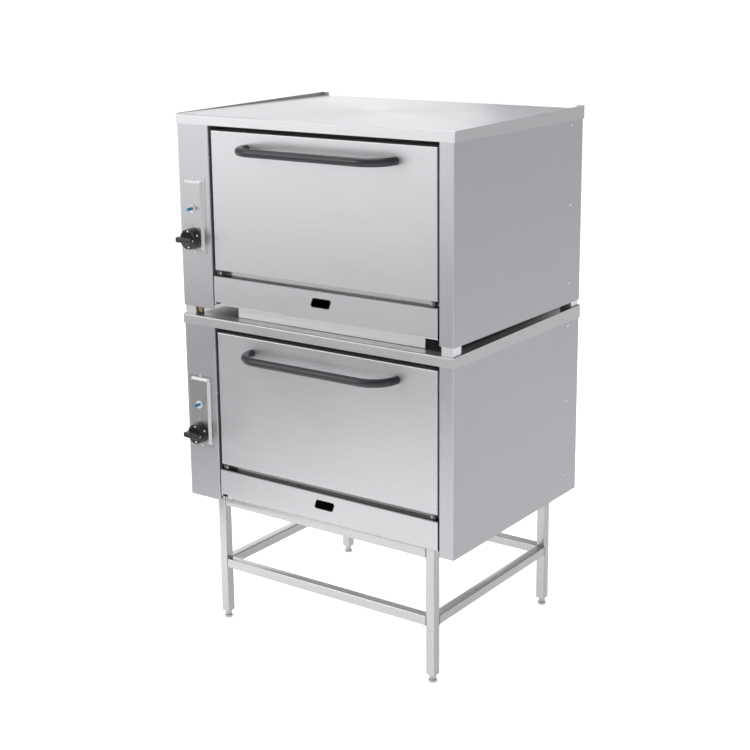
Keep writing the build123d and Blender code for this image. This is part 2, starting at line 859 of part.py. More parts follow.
def make_igniter():
    """Piezo igniter: body behind the plate and a dished bezel in front."""
    centre = (control_x, igniter_z)
    front = plate_face - bezel_height
    bezel = faceted("y", centre, [(front, bezel_radius - bezel_height / 2),
                                  (front + bezel_height / 2, bezel_radius),
                                  (plate_face, bezel_radius)], bezel_flats)
    body = faceted("y", centre, [(plate_face, igniter_radius),
                                 (igniter_back, igniter_radius)], valve_flats)
    return bezel + body - rod("y", front, button_back + button_travel_room, centre,
                              button_radius + running_gap)


def make_igniter_button():
    """Push rod of the igniter, with a rounded tip."""
    tip = plate_face - button_front
    rounding = button_radius / 3
    profile = [(button_back, 0), (button_back, button_radius), (tip + rounding, button_radius),
               (tip, button_radius - rounding), (tip, 0)]
    return turned("y", (control_x, igniter_z), profile)


def make_door_skin():
    """Outer door pan: front sheet with its edges turned back."""
    outer = block(door_left, door_right, 0, door_depth, door_bottom, door_top)
    front_edges = outer.faces().sort_by(Axis.Y)[0].edges()
    outer = fillet(front_edges, door_edge_radius)
    hollow = block(door_left + door_sheet, door_right - door_sheet, door_sheet, door_depth,
                   door_bottom + door_sheet, door_top - door_sheet)
    return outer - hollow


def make_door_liner():
    """Inner door sheet with a tapered plug that enters the oven mouth."""
    back = door_depth + door_inner_sheet
    rim = prism("y", door_depth, back, rectangle(door_left, door_right, door_bottom, door_top))
    foot = (cavity_left + door_plug_gap, cavity_right - door_plug_gap,
            cavity_floor + door_plug_gap, cavity_top - door_plug_gap)

    def step(depth, inset):
        a0, a1, b0, b1 = foot
        corners = [Vector(x, depth, z) for x, z in rectangle(a0 + inset, a1 - inset,
                                                             b0 + inset, b1 - inset)]
        return rounded_face(corners, [door_plug_gap] * 4)

    plug = loft([step(back, 0), step(back + door_plug_depth, door_plug_taper)])
    hollow = loft([step(door_depth, door_inner_sheet),
                   step(back + door_plug_depth - door_inner_sheet,
                        door_plug_taper + door_inner_sheet)])
    return rim + plug - hollow


def make_door_insulation():
    inset = door_sheet + door_pad_gap
    return block(door_left + inset, door_right - inset, inset, door_depth,
                 door_bottom + inset, door_top - inset)


def make_door_handle():
    """Bent tube handle, its legs square to the door."""
    path = FilletPolyline((handle_left, 0, handle_z), (handle_left, -handle_standoff, handle_z),
                          (handle_right, -handle_standoff, handle_z),
                          (handle_right, 0, handle_z), radius=handle_bend)
    section = Plane(path @ 0, z_dir=path % 0) * RegularPolygon(handle_diameter / 2, handle_flats)
    return sweep(section, path=path)


def pivot_eye(low, high, tail):
    """Plate across X with an eye round the pivot and a tail to its carrier."""
    eye = faceted("x", (pivot_depth, pivot_z), [(low, ear_radius), (high, ear_radius)],
                  ear_flats)
    return eye + prism("x", low, high, tail)


def make_door_hinges():
    """Ears under the door, each with the pivot pin that it turns on."""
    tail = rectangle(pivot_depth - ear_radius, pivot_depth + ear_radius, pivot_z, door_bottom)
    pin_length = bracket_gap + bracket_width + bracket_gap
    left = door_left + ear_inset
    right = door_right - ear_inset
    hinges = []
    for ear_low, pin_low in ((left, left + ear_width), (right - ear_width,
                                                        right - ear_width - pin_length)):
        ear = pivot_eye(ear_low, ear_low + ear_width, tail)
        pin = rod("x", pin_low, pin_low + pin_length, (pivot_depth, pivot_z), pivot_radius)
        hinges.append(ear + pin)
    return Compound(children=hinges)


def make_hinge_brackets():
    """Fixed plates that hold the pins: one through the sill notch, one on the sill lip."""
    half = ear_radius - bracket_gap
    left = door_left + ear_inset + ear_width + bracket_gap
    right = door_right - ear_inset - ear_width - bracket_gap - bracket_width
    brackets = []
    for low, reach in ((left, frame_depth), (right, sill_depth)):
        tail = rectangle(pivot_depth, reach, pivot_z - half, pivot_z + half)
        plate = pivot_eye(low, low + bracket_width, tail)
        plate -= rod("x", low, low + bracket_width, (pivot_depth, pivot_z),
                     pivot_radius + pivot_gap)
        brackets.append(plate)
    return Compound(children=brackets)


def make_door_seal():
    """Braided seal on the frame, round the oven mouth."""
    inner = rectangle(cavity_left - seal_margin, cavity_right + seal_margin,
                      cavity_floor - seal_margin, cavity_top + seal_margin)
    margin = seal_margin + seal_width
    outer = rectangle(cavity_left - margin, cavity_right + margin,
                      cavity_floor - margin, cavity_top + margin)
    front = frame_depth - seal_thickness
    ring = prism("y", front, frame_depth, outer, margin)
    return ring - prism("y", front, frame_depth, inner, seal_margin)


def make_deck_feet():
    """Square tube feet between the decks."""
    feet = []
    for side in (-1, 1):
        corner = side * (half_width - deck_foot_inset)
        x = min(corner, corner - side * deck_foot_size)
        for y in (deck_foot_inset, body_depth - deck_foot_inset - deck_foot_size):
            feet.append(square_tube("z", -deck_foot_height, 0, x, y, deck_foot_size,
                                    deck_foot_wall, deck_foot_wall))
    return Compound(children=feet)


leg_places = {"front_left": (0, 0), "front_right": (1, 0),
              "back_left": (0, 1), "back_right": (1, 1)}


def leg_corner(place):
    """Outer left and front corner of a stand leg."""
    column, row = leg_places[place]
    return (stand_left + column * (stand_width - tube_size),
            stand_front + row * (stand_depth - tube_size))


def make_stand_legs():
    """Four square legs, each closed below by a threaded plate."""
    legs = []
    stud_hole = (foot_stud_radius + thread_gap) / cos(pi / foot_flats)
    for place in leg_places:
        x, y = leg_corner(place)
        leg = square_tube("z", foot_reach, stand_height, x, y, tube_size, tube_wall,
                          tube_corner)
        plate = rectangle(x + tube_wall, x + tube_size - tube_wall,
                          y + tube_wall, y + tube_size - tube_wall)
        leg += prism("z", foot_reach, foot_reach + leg_end_plate, plate)
        leg -= faceted("z", (x + tube_size / 2, y + tube_size / 2),
                       [(foot_reach, stud_hole), (foot_reach + leg_end_plate, stud_hole)],
                       foot_flats)
        legs.append(leg)
    return Compound(children=legs)


def make_stand_rails():
    """Upper and lower rings of square tube between the legs."""
    left_inner = stand_left + tube_size
    right_inner = stand_right - tube_size
    front_inner = stand_front + tube_size
    back_inner = stand_front + stand_depth - tube_size
    rails = []
    for z in (stand_height - tube_size, lower_rail_height):
        for y in (stand_front, back_inner):
            rails.append(square_tube("x", left_inner, right_inner, y, z, tube_size, tube_wall,
                                     tube_corner))
        for x in (stand_left, right_inner):
            rails.append(square_tube("y", front_inner, back_inner, x, z, tube_size,
                                     tube_wall, tube_corner))
    return Compound(children=rails)


def make_levelling_foot(place):
    """Screw foot: round pad, hexagon for the spanner and stud up into the leg."""
    x, y = leg_corner(place)
    centre = (x + tube_size / 2, y + tube_size / 2)
    pad_edge = foot_pad_height / 3
    foot = faceted("z", centre, [(0, foot_pad_radius - pad_edge),
                                 (pad_edge, foot_pad_radius),
                                 (foot_pad_height - pad_edge, foot_pad_radius),
                                 (foot_pad_height, foot_hex_across / 2)], foot_flats)
    foot += hexagon("z", foot_pad_height, foot_pad_height + foot_hex_height, centre,
                    foot_hex_across)
    return foot + rod("z", foot_pad_height + foot_hex_height, foot_stud_length, centre,
                      foot_stud_radius)


def screw(axis, seat, centre, outward):
    """Pan-head screw: head on the seat, pointing outward along the axis, shank inside."""
    head = sorted([(seat, screw_head_radius),
                   (seat + outward * screw_head_height, screw_head_radius - screw_head_slope)])
    ends = sorted((seat, seat - outward * screw_shank_length))
    shank = faceted(axis, centre, [(end, screw_shank_radius) for end in ends], screw_flats)
    return faceted(axis, centre, head, screw_flats) + shank


def make_casing_screws():
    """Screws of the side panels and control plates of both decks."""
    screws = []
    for deck_z in (lower_deck_z, upper_deck_z):
        for side in (-1, 1):
            for z in side_screw_heights:
                screws.append(screw("x", side * half_width, (side_screw_y, deck_z + z), side))
        for z in plate_screw_heights:
            screws.append(screw("y", -casing_sheet, (control_x, deck_z + z), -1))
    return Compound(children=screws)


deck_pieces = {
    "top_cover": make_top_cover,
    "left_casing": make_left_casing,
    "right_casing": make_right_casing,
    "back_panel": make_back_panel,
    "base_pan": make_base_pan,
    "front_frame": make_front_frame,
    "fascia": make_fascia,
    "oven_liner": make_oven_liner,
    "insulation": make_insulation,
    "hearth_plate": make_hearth_plate,
    "oven_rack": make_oven_rack,
    "burner": make_burner,
    "gas_pipe": make_gas_pipe,
    "gas_valve": make_gas_valve,
    "valve_plunger": make_valve_plunger,
    "temperature_knob": make_temperature_knob,
    "control_plate": make_control_plate,
    "igniter": make_igniter,
    "igniter_button": make_igniter_button,
    "door_skin": make_door_skin,
    "door_liner": make_door_liner,
    "door_insulation": make_door_insulation,
    "door_handle": make_door_handle,
    "door_hinges": make_door_hinges,
    "hinge_brackets": make_hinge_brackets,
    "door_seal": make_door_seal,
}


def save(name, shape, height):
    """Write one piece, moved from its own height and the door face to the origin."""
    export_step(Pos(0, -origin_depth, height) * shape, f"parts/{name}.step")


os.makedirs("parts", exist_ok=True)
for piece, make_piece in deck_pieces.items():
    shape = make_piece()
    save(f"lower_{piece}", shape, lower_deck_z)
    save(f"upper_{piece}", shape, upper_deck_z)
save("deck_feet", make_deck_feet(), upper_deck_z)
save("stand_legs", make_stand_legs(), 0)
save("stand_rails", make_stand_rails(), 0)
save("casing_screws", make_casing_screws(), 0)
for place in leg_places:
    save(f"{place}_foot", make_levelling_foot(place), 0)
print("lower deck at", lower_deck_z, "upper deck at", upper_deck_z)
print("origin behind the door faces", origin_depth, "pivot", pivot_depth, pivot_z)
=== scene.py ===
import math

import bpy
import numpy as np
from mathutils import Matrix, Vector


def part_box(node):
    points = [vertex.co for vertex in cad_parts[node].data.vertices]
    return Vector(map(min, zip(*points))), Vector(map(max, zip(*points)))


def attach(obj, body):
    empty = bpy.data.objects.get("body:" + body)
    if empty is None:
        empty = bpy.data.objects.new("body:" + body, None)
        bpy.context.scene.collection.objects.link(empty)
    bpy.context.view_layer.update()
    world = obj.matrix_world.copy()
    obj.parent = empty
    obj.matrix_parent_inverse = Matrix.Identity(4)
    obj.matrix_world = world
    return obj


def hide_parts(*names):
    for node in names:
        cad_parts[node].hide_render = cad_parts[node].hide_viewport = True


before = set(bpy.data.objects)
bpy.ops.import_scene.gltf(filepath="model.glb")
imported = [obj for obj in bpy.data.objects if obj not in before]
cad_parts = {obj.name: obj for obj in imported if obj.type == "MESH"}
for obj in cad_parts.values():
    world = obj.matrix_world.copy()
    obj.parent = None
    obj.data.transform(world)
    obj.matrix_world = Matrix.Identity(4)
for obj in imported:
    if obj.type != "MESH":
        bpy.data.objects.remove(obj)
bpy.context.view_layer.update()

print("frame loaded:", len(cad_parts), "nodes")

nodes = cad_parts
pi = math.pi
fixedBody = "ovens_and_stand"
# each deck's own zero above the floor, the rise from deck to deck and up to a lid's flat top
deckBases = {"lower": 0.407, "upper": 1.031}
deckPitch, deckHeight = 0.624, 0.596
footPlaces = ("front_left", "front_right", "back_left", "back_right")


# a shader socket that takes part in Python expressions
class Signal:
    def __init__(self, finish, socket):
        self.finish = finish
        self.socket = socket

    def joined(self, operation, first, second=0.0):
        made = self.finish.node("ShaderNodeMath", {"operation": operation}, {0: first, 1: second})
        return Signal(self.finish, made.outputs[0])

    def __add__(self, other):
        return self.joined("ADD", self, other)

    def __sub__(self, other):
        return self.joined("SUBTRACT", self, other)

    def __rsub__(self, other):
        return self.joined("SUBTRACT", other, self)

    def __mul__(self, other):
        return self.joined("MULTIPLY", self, other)

    def __abs__(self):
        return self.joined("ABSOLUTE", self)

    __radd__ = __add__
    __rmul__ = __mul__

    def remainder(self, step):
        return self.joined("MODULO", self, step)

    def ramp(self, low, high):
        made = self.finish.node("ShaderNodeMapRange", {"interpolation_type": "SMOOTHSTEP"},
                                {"Value": self, "From Min": low, "From Max": high})
        return Signal(self.finish, made.outputs["Result"])


class Finish:
    def __init__(self, name, **fixed):
        self.material = bpy.data.materials.new(name)
        self.material.use_nodes = True
        self.tree = self.material.node_tree
        self.shader = self.tree.nodes["Principled BSDF"]
        self.coordinates = self.node("ShaderNodeTexCoord", {}, {}).outputs
        for socketName, value in fixed.items():
            self.shader.inputs[socketName.replace("_", " ")].default_value = value

    def node(self, kind, settings, values):
        made = self.tree.nodes.new(kind)
        for name, value in settings.items():
            setattr(made, name, value)
        for name, value in values.items():
            if isinstance(value, Signal):
                self.tree.links.new(value.socket, made.inputs[name])
            else:
                made.inputs[name].default_value = value
        return made

    def where(self, scale):
        place = Signal(self, self.coordinates["Object"])
        made = self.node("ShaderNodeMapping", {}, {"Vector": place, "Scale": scale})
        return Signal(self, made.outputs["Vector"])

    def part(self, source, name):
        vector = Signal(self, self.coordinates[source])
        made = self.node("ShaderNodeSeparateXYZ", {}, {"Vector": vector})
        return Signal(self, made.outputs[name])

    def axis(self, name):
        return self.part("Object", name)

    def facing(self, name):
        return self.part("Normal", name)

    def noise(self, scale, stretch=(1.0, 1.0, 1.0), detail=2.0, roughness=0.5):
        made = self.node("ShaderNodeTexNoise", {}, {"Vector": self.where(stretch), "Scale": scale,
                                                    "Detail": detail, "Roughness": roughness})
        return Signal(self, made.outputs["Fac"])

    def cells(self, scale, output="Distance"):
        made = self.node("ShaderNodeTexVoronoi", {},
                         {"Vector": self.where((1.0, 1.0, 1.0)), "Scale": scale})
        return Signal(self, made.outputs[output])

    # colours are given as red, green and blue
    def blend(self, amount, first, second):
        made = self.node("ShaderNodeMix", {"data_type": "RGBA"}, {0: amount})
        colourIn = [s for s in made.inputs if s.type == "RGBA"]
        colourOut = [s for s in made.outputs if s.type == "RGBA"][0]
        for socket, value in zip(colourIn, (first, second)):
            if isinstance(value, Signal):
                self.tree.links.new(value.socket, socket)
            else:
                socket.default_value = (*value, 1.0)
        return Signal(self, colourOut)

    def paint(self, **inputs):
        for name, value in inputs.items():
            self.tree.links.new(value.socket, self.shader.inputs[name.replace("_", " ")])

    # joins tone and roughness to the shader, with a bump of (height, strength, distance)
    def finished(self, base, rough, bump=None, **more):
        self.paint(Base_Color=base, Roughness=rough, **more)
        if bump is not None:
            made = self.node("ShaderNodeBump", {},
                             dict(zip(("Height", "Strength", "Distance"), bump)))
            self.paint(Normal=Signal(self, made.outputs["Normal"]))
        return self.material


def shade(colour, factor):
    return tuple(min(1.0, c * factor) for c in colour)


# painted shadow of the upper deck on the part of the lower lid that it stands over, with the width
# of the shadow's soft edges
deckShadowLook = {"half": 0.47, "front": -0.302, "softSide": 0.02, "softFront": 0.014}


# brushed sheet: streaks along one axis, a soft cloud of handling marks over it;
# a factor other than one paints light onto that part of the sheet: below one a painted shade,
# above one a painted highlight
def brushedSheet(name, colour, grain, metal=0.8, rough=0.36, contrast=0.025, cloudy=0.035,
                 paintedSideLight=1.0, paintedUndersideShade=1.0, paintedTopLight=1.0, paintedFoldShade=1.0, paintedDeckShadow=1.0):
    finish = Finish(name, Metallic=metal, Anisotropic=0.35)
    stretch = {"x": (0.02, 1.0, 1.0), "z": (1.0, 1.0, 0.02)}[grain]
    streaks = finish.noise(900.0, stretch, detail=3.0, roughness=0.65)
    lines = finish.noise(260.0, stretch, detail=2.0, roughness=0.5)
    cloud = finish.noise(3.2, detail=3.0, roughness=0.55)
    tone = (streaks * 0.45 + lines * 0.15 + cloud * 0.4).ramp(0.3, 0.7)
    low, high = shade(colour, 1.0 - contrast - cloudy), shade(colour, 1.0 + contrast)
    base = finish.blend(tone, low, high)
    if paintedSideLight != 1.0:  # painted light on faces turned to the sides: painted shade below one, a painted highlight above one
        aside = abs(finish.facing("X")).ramp(0.3, 0.9)
        base = finish.blend(aside, base,
                            finish.blend(tone, shade(low, paintedSideLight), shade(high, paintedSideLight)))
    if paintedUndersideShade != 1.0:  # the underside keeps its dull mill face
        # painted shade on faces turned down
        below = (finish.facing("Z") * -1.0).ramp(0.5, 0.9)
        base = finish.blend(below, base, shade(colour, paintedUndersideShade))
    if paintedTopLight != 1.0:  # whatever faces up, even a little (a top edge, a bevel or a fold) gets painted light: a painted shadow below one, a painted highlight above one
        above = finish.facing("Z").ramp(0.1, 0.5)
        base = finish.blend(above, base, shade(colour, paintedTopLight))
    if paintedFoldShade != 1.0:  # painted shade on the front fold, to dim its highlight
        slope = finish.facing("Z")
        forward = (finish.facing("Y") * -1.0).ramp(0.1, 0.3)
        fold = (slope * (1.0 - slope) * 4.0).ramp(0.2, 0.8) * forward
        base = finish.blend(fold, base, shade(colour, paintedFoldShade))
    if paintedDeckShadow != 1.0:  # painted shadow on sheet that the upper deck stands over
        front = deckShadowLook["front"]
        inside = (deckShadowLook["half"] - abs(finish.axis("X"))).ramp(0.0, deckShadowLook["softSide"])
        behind = finish.axis("Y").ramp(front, front + deckShadowLook["softFront"])
        under = inside * behind * finish.facing("Z").ramp(0.5, 0.9)
        base = finish.blend(under, base, shade(colour, paintedDeckShadow))
    return finish.finished(base, streaks * 0.16 + cloud * 0.10 + (rough - 0.13),
                           (streaks * 0.8 + lines * 0.2, 0.06, 0.0003))


# frame round the mouth: bright along its sill, with painted shade above it for the gap over the
# door, by the height within a deck
def mouthFrame(name, colour, sootAndPaintedShade):
    finish = Finish(name, Metallic=0.7)
    streaks = finish.noise(900.0, (0.02, 1.0, 1.0), detail=3.0)
    cloud = finish.noise(22.0, detail=4.0)
    height = (finish.axis("Z") - deckBases["lower"]).remainder(deckPitch)
    paintedGapShadow = (height + cloud * 0.012).ramp(0.137, 0.150)
    bright = finish.blend(streaks, shade(colour, 0.92), colour)
    dark = finish.blend(cloud, sootAndPaintedShade, shade(sootAndPaintedShade, 1.8))
    return finish.finished(finish.blend(paintedGapShadow, bright, dark),
                           streaks * 0.14 + paintedGapShadow * 0.25 + 0.34)


# zinc-coated sheet with its crystal spangle
def spangledZinc(name, colour):
    finish = Finish(name, Metallic=0.85)
    flakes = finish.cells(90.0, output="Color")
    grey = finish.node("ShaderNodeSeparateColor", {}, {"Color": flakes})
    tone = Signal(finish, grey.outputs[0])
    cloud = finish.noise(4.0, detail=3.0)
    return finish.finished(
        finish.blend(tone * 0.7 + cloud * 0.3, shade(colour, 0.86), shade(colour, 1.08)),
        tone * 0.18 + cloud * 0.1 + 0.32)


# glassy enamel: near black with pale flecks and a slight orange peel
def specklingEnamel(name, colour, fleck):
    finish = Finish(name, Coat_Roughness=0.12)
    spots = finish.noise(520.0, detail=1.0)
    peel = finish.noise(60.0, detail=2.0)
    return finish.finished(finish.blend(spots.ramp(0.66, 0.74), colour, fleck),
                           peel * 0.2 + 0.16, (peel, 0.12, 0.001), Coat_Weight=peel * 0.3 + 0.35)


# loose wool: long crossed fibres with lumps
def matWool(name, colour):
    finish = Finish(name, Sheen_Weight=0.25)
    fibres = finish.noise(260.0, (1.0, 0.15, 0.4), detail=4.0, roughness=0.7)
    lumps = finish.noise(26.0, detail=3.0)
    return finish.finished(
        finish.blend(fibres * 0.6 + lumps * 0.4, shade(colour, 0.7), shade(colour, 1.15)),
        fibres * 0.1 + 0.86, (fibres * 0.6 + lumps, 0.6, 0.003))


# plate that has been through many firings: brown heat tints on dark steel
def firedPlate(name, colour, tint):
    finish = Finish(name, Metallic=0.6)
    cloud = finish.noise(7.0, detail=4.0, roughness=0.6)
    grain = finish.noise(420.0, detail=2.0)
    return finish.finished(finish.blend(cloud.ramp(0.35, 0.7), colour, tint),
                           grain * 0.2 + cloud * 0.15 + 0.3, (grain, 0.2, 0.0006))


# plain bright or turned metal with a fine lay and a few dull patches
def plainMetal(name, colour, rough=0.25, metal=1.0, lay=300.0):
    finish = Finish(name, Metallic=metal)
    fine = finish.noise(lay, detail=2.0)
    cloud = finish.noise(18.0, detail=3.0)
    return finish.finished(finish.blend(cloud, shade(colour, 0.88), shade(colour, 1.06)),
                           fine * 0.12 + cloud * 0.12 + (rough - 0.12), (fine, 0.08, 0.0004))


# casting skin: sand grain and small pits
def castSkin(name, colour):
    finish = Finish(name, Metallic=0.35)
    sand = finish.noise(240.0, detail=4.0, roughness=0.65)
    pits = finish.cells(160.0)
    return finish.finished(finish.blend(sand, shade(colour, 0.7), shade(colour, 1.3)),
                           sand * 0.2 + 0.55, (sand + pits * 0.5, 0.5, 0.0012))


# coat of paint over metal: orange peel and slight thin spots
def satinPaint(name, colour, rough, peelScale=240.0, metal=0.0):
    finish = Finish(name, Metallic=metal)
    peel = finish.noise(peelScale, detail=2.0)
    cloud = finish.noise(9.0, detail=4.0, roughness=0.6)
    return finish.finished(
        finish.blend(cloud.ramp(0.3, 0.75), shade(colour, 0.94), shade(colour, 1.06)),
        peel * 0.14 + cloud * 0.1 + (rough - 0.1), (peel, 0.15, 0.0006))


# moulded plastic or glaze: fine spark-eroded grain under a soft gloss
def moulded(name, colour, rough, coat=0.0):
    finish = Finish(name, Coat_Roughness=0.15)
    grain = finish.noise(900.0, detail=2.0)
    cloud = finish.noise(30.0, detail=2.0)
    return finish.finished(finish.blend(cloud, shade(colour, 0.88), shade(colour, 1.12)),
                           grain * 0.16 + cloud * 0.06 + (rough - 0.1), (grain, 0.2, 0.0003),
                           Coat_Weight=cloud * 0.2 + coat)


# glass-fibre braid: yarns are in the mesh, the fuzz is here
def braidYarn(name, colour):
    finish = Finish(name, Sheen_Weight=0.3)
    fuzz = finish.noise(700.0, detail=3.0)
    sootAndPaintedShade = finish.noise(14.0, detail=3.0)
    return finish.finished(finish.blend(sootAndPaintedShade, shade(colour, 0.6), shade(colour, 1.3)),
                           fuzz * 0.1 + 0.8, (fuzz, 0.5, 0.0005))


# the darkest tone of the mouth frame is painted shade for the gap over each door
tones = {
    "sheet": (0.47, 0.47, 0.482), "door": (0.56, 0.56, 0.568), "lid": (0.57, 0.57, 0.575),
    "pan": (0.82, 0.81, 0.79), "plate": (0.435, 0.435, 0.435), "inner": (0.66, 0.66, 0.665),
    "sootAndPaintedShade": (0.035, 0.034, 0.034), "zinc": (0.48, 0.49, 0.50), "enamel": (0.022, 0.023, 0.026),
    "fleck": (0.25, 0.26, 0.28), "wool": (0.62, 0.56, 0.40), "hearth": (0.13, 0.12, 0.12),
    "hearthTint": (0.20, 0.15, 0.12), "wire": (0.72, 0.72, 0.74), "iron": (0.05, 0.047, 0.045),
    "pipe": (0.42, 0.42, 0.43), "brass": (0.62, 0.44, 0.18), "stem": (0.55, 0.55, 0.57),
    "knob": (0.012, 0.012, 0.013), "ceramic": (0.66, 0.67, 0.68), "blue": (0.02, 0.20, 0.38),
    "handle": (0.016, 0.017, 0.020), "hinge": (0.10, 0.10, 0.105), "braid": (0.10, 0.095, 0.09),
    "stand": (0.515, 0.512, 0.503), "chrome": (0.70, 0.70, 0.72), "bracket": (0.34, 0.34, 0.345),
    "dullBrass": (0.34, 0.27, 0.17), "weld": (0.36, 0.35, 0.33), "plated": (0.46, 0.46, 0.47),
    "white": (0.85, 0.85, 0.85), "red": (0.80, 0.27, 0.24),
}
# the side, underside, top, fold and deck factors of these sheets are painted light: painted shade
# below one, a painted highlight above one
finishes = {
    "casing": brushedSheet("brushed casing sheet", tones["sheet"], "z", paintedSideLight=0.75),
    "doorSheet": brushedSheet("brushed door sheet", tones["door"], "x", rough=0.38),
    "fasciaSheet": brushedSheet("brushed fascia sheet", tones["door"], "x", paintedTopLight=0.12),
    "lidSheet": brushedSheet("brushed lid sheet", tones["lid"], "x", rough=0.34,
                             paintedSideLight=0.7, paintedFoldShade=0.7),
    "deckShadowedLid": brushedSheet("brushed lid sheet with painted deck shadow", tones["lid"], "x", rough=0.34,
                               paintedSideLight=0.7, paintedFoldShade=0.6, paintedDeckShadow=0.3),
    "plateSheet": brushedSheet("brushed control plate", tones["plate"], "z", rough=0.3,
                               paintedSideLight=1.18, paintedTopLight=1.75),
    "innerSheet": brushedSheet("plain inner sheet", tones["inner"], "x", rough=0.42),
    "frameSheet": mouthFrame("oven mouth frame", tones["inner"], tones["sootAndPaintedShade"]),
    # the pan tone is lifted far above the casing's: painted light on the recessed wall below each
    # fascia, where little light reaches
    "panSheet": brushedSheet("plain pan sheet", tones["pan"], "x", rough=0.48, metal=0.5,
                             paintedUndersideShade=0.12),
    "lowerPan": brushedSheet("plain pan sheet over the stand", tones["pan"], "x", rough=0.48,
                             metal=0.5, paintedUndersideShade=0.55),
    "zinc": spangledZinc("zinc sheet", tones["zinc"]),
    "enamel": specklingEnamel("dark oven enamel", tones["enamel"], tones["fleck"]),
    "wool": matWool("mineral wool", tones["wool"]),
    "hearth": firedPlate("fired hearth steel", tones["hearth"], tones["hearthTint"]),
    "wire": plainMetal("bright rack wire", tones["wire"], 0.2),
    "iron": castSkin("burner iron", tones["iron"]),
    "pipe": plainMetal("gas pipe steel", tones["pipe"], 0.42, 0.9),
    "brass": plainMetal("machined brass", tones["brass"], 0.3),
    "dullBrass": plainMetal("dull brass", tones["dullBrass"], 0.45),
    "stem": plainMetal("turned steel", tones["stem"], 0.28, lay=800.0),
    "knob": moulded("black knob moulding", tones["knob"], 0.38),
    "edging": moulded("black slot edging", tones["knob"], 0.6),
    "ceramic": moulded("glazed bezel", tones["ceramic"], 0.25, coat=0.4),
    "blue": moulded("blue push rod", tones["blue"], 0.3, coat=0.2),
    "handle": satinPaint("satin black coat", tones["handle"], 0.34),
    "hinge": plainMetal("hinge steel", tones["hinge"], 0.5, 0.7),
    "bracket": plainMetal("hinge bracket steel", tones["bracket"], 0.5, 0.7),
    "braid": braidYarn("glass-fibre braid", tones["braid"]),
    "stand": brushedSheet("drawn stand tube", tones["stand"], "z", metal=0.9, rough=0.26,
                          contrast=0.03, cloudy=0.05, paintedSideLight=0.72),
    "weld": satinPaint("coated weld", tones["weld"], 0.5, 300.0, metal=0.3),
    "chrome": plainMetal("plated foot", tones["plated"], 0.34),
    "screw": plainMetal("bright screw", tones["chrome"], 0.25),
    "whitePaint": satinPaint("white dot paint", tones["white"], 0.5),
    "redPaint": satinPaint("red dot paint", tones["red"], 0.45),
}
deckFinish = {
    "top_cover": "lidSheet", "left_casing": "casing", "right_casing": "casing",
    "back_panel": "zinc", "base_pan": "panSheet", "front_frame": "frameSheet",
    "fascia": "fasciaSheet", "oven_liner": "enamel", "insulation": "wool",
    "hearth_plate": "hearth", "oven_rack": "wire", "burner": "iron", "gas_pipe": "pipe",
    "gas_valve": "brass", "valve_plunger": "stem", "temperature_knob": "knob",
    "control_plate": "plateSheet", "igniter": "ceramic", "igniter_button": "blue",
    "door_skin": "doorSheet", "door_liner": "innerSheet", "door_insulation": "wool",
    "door_handle": "handle", "door_hinges": "hinge", "hinge_brackets": "bracket",
    "door_seal": "braid",
}
nodeFinish = {f"{deck}_{piece}": key for deck in deckBases for piece, key in deckFinish.items()}
nodeFinish.update({f"{place}_foot": "chrome" for place in footPlaces})
nodeFinish.update({"lower_top_cover": "deckShadowedLid", "lower_base_pan": "lowerPan",
                   "deck_feet": "innerSheet", "stand_legs": "stand", "stand_rails": "stand",
                   "casing_screws": "screw"})
for node, key in nodeFinish.items():
    nodes[node].data.materials.clear()
    nodes[node].data.materials.append(finishes[key])
print("finishes made:", len(finishes))


# low corner, high corner and middle of a node's box
def span(node):
    low, high = (np.array(corner, float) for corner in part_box(node))
    return low, high, (low + high) / 2


# boxes of the separate solids in a node: points in one place, or on one edge, take one label
def solidBoxes(node):
    mesh, matrix = nodes[node].data, np.array(nodes[node].matrix_world)
    verts = np.empty(len(mesh.vertices) * 3)
    mesh.vertices.foreach_get("co", verts)
    verts = verts.reshape(-1, 3) @ matrix[:3, :3].T + matrix[:3, 3]
    edges = np.empty(len(mesh.edges) * 2, int)
    mesh.edges.foreach_get("vertices", edges)
    place = np.unique(np.round(verts, 6), axis=0, return_inverse=True)[1].reshape(-1)
    first, second = place[edges[0::2]], place[edges[1::2]]
    label = np.arange(place.max() + 1)
    settled = False
    while not settled:
        before = label.copy()
        least = np.minimum(label[first], label[second])
        np.minimum.at(label, first, least)
        np.minimum.at(label, second, least)
        label = label[label]
        settled = bool((label == before).all())
    owner = label[place]
    return [(verts[owner == k].min(axis=0), verts[owner == k].max(axis=0))
            for k in np.unique(owner)]


# quads between neighbouring rings of a (rings, points) grid, closed round each ring
def gridFaces(rings, points, closeRings=False):
    row = np.arange(rings if closeRings else rings - 1)[:, None]
    col = np.arange(points)[None, :]
    nextRow, nextCol = (row + 1) % rings, (col + 1) % points
    quads = np.stack([row * points + col, row * points + nextCol,
                      nextRow * points + nextCol, nextRow * points + col], axis=-1)
    return quads.reshape(-1, 4)


# a closed shell from rings, with a fan on each end unless the rings close on themselves
def shell(rings, closeRings=False):
    count, points = rings.shape[:2]
    verts = rings.reshape(-1, 3)
    faces = gridFaces(count, points, closeRings).tolist()
    if not closeRings:
        verts = np.vstack([verts, rings[0].mean(axis=0), rings[-1].mean(axis=0)])
        here = np.arange(points)
        ahead = (here + 1) % points
        first = np.stack([np.full(points, count * points), ahead, here], axis=-1)
        base = (count - 1) * points
        last = np.stack([np.full(points, count * points + 1), here + base, ahead + base], axis=-1)
        faces += first.tolist() + last.tolist()
    return verts, faces


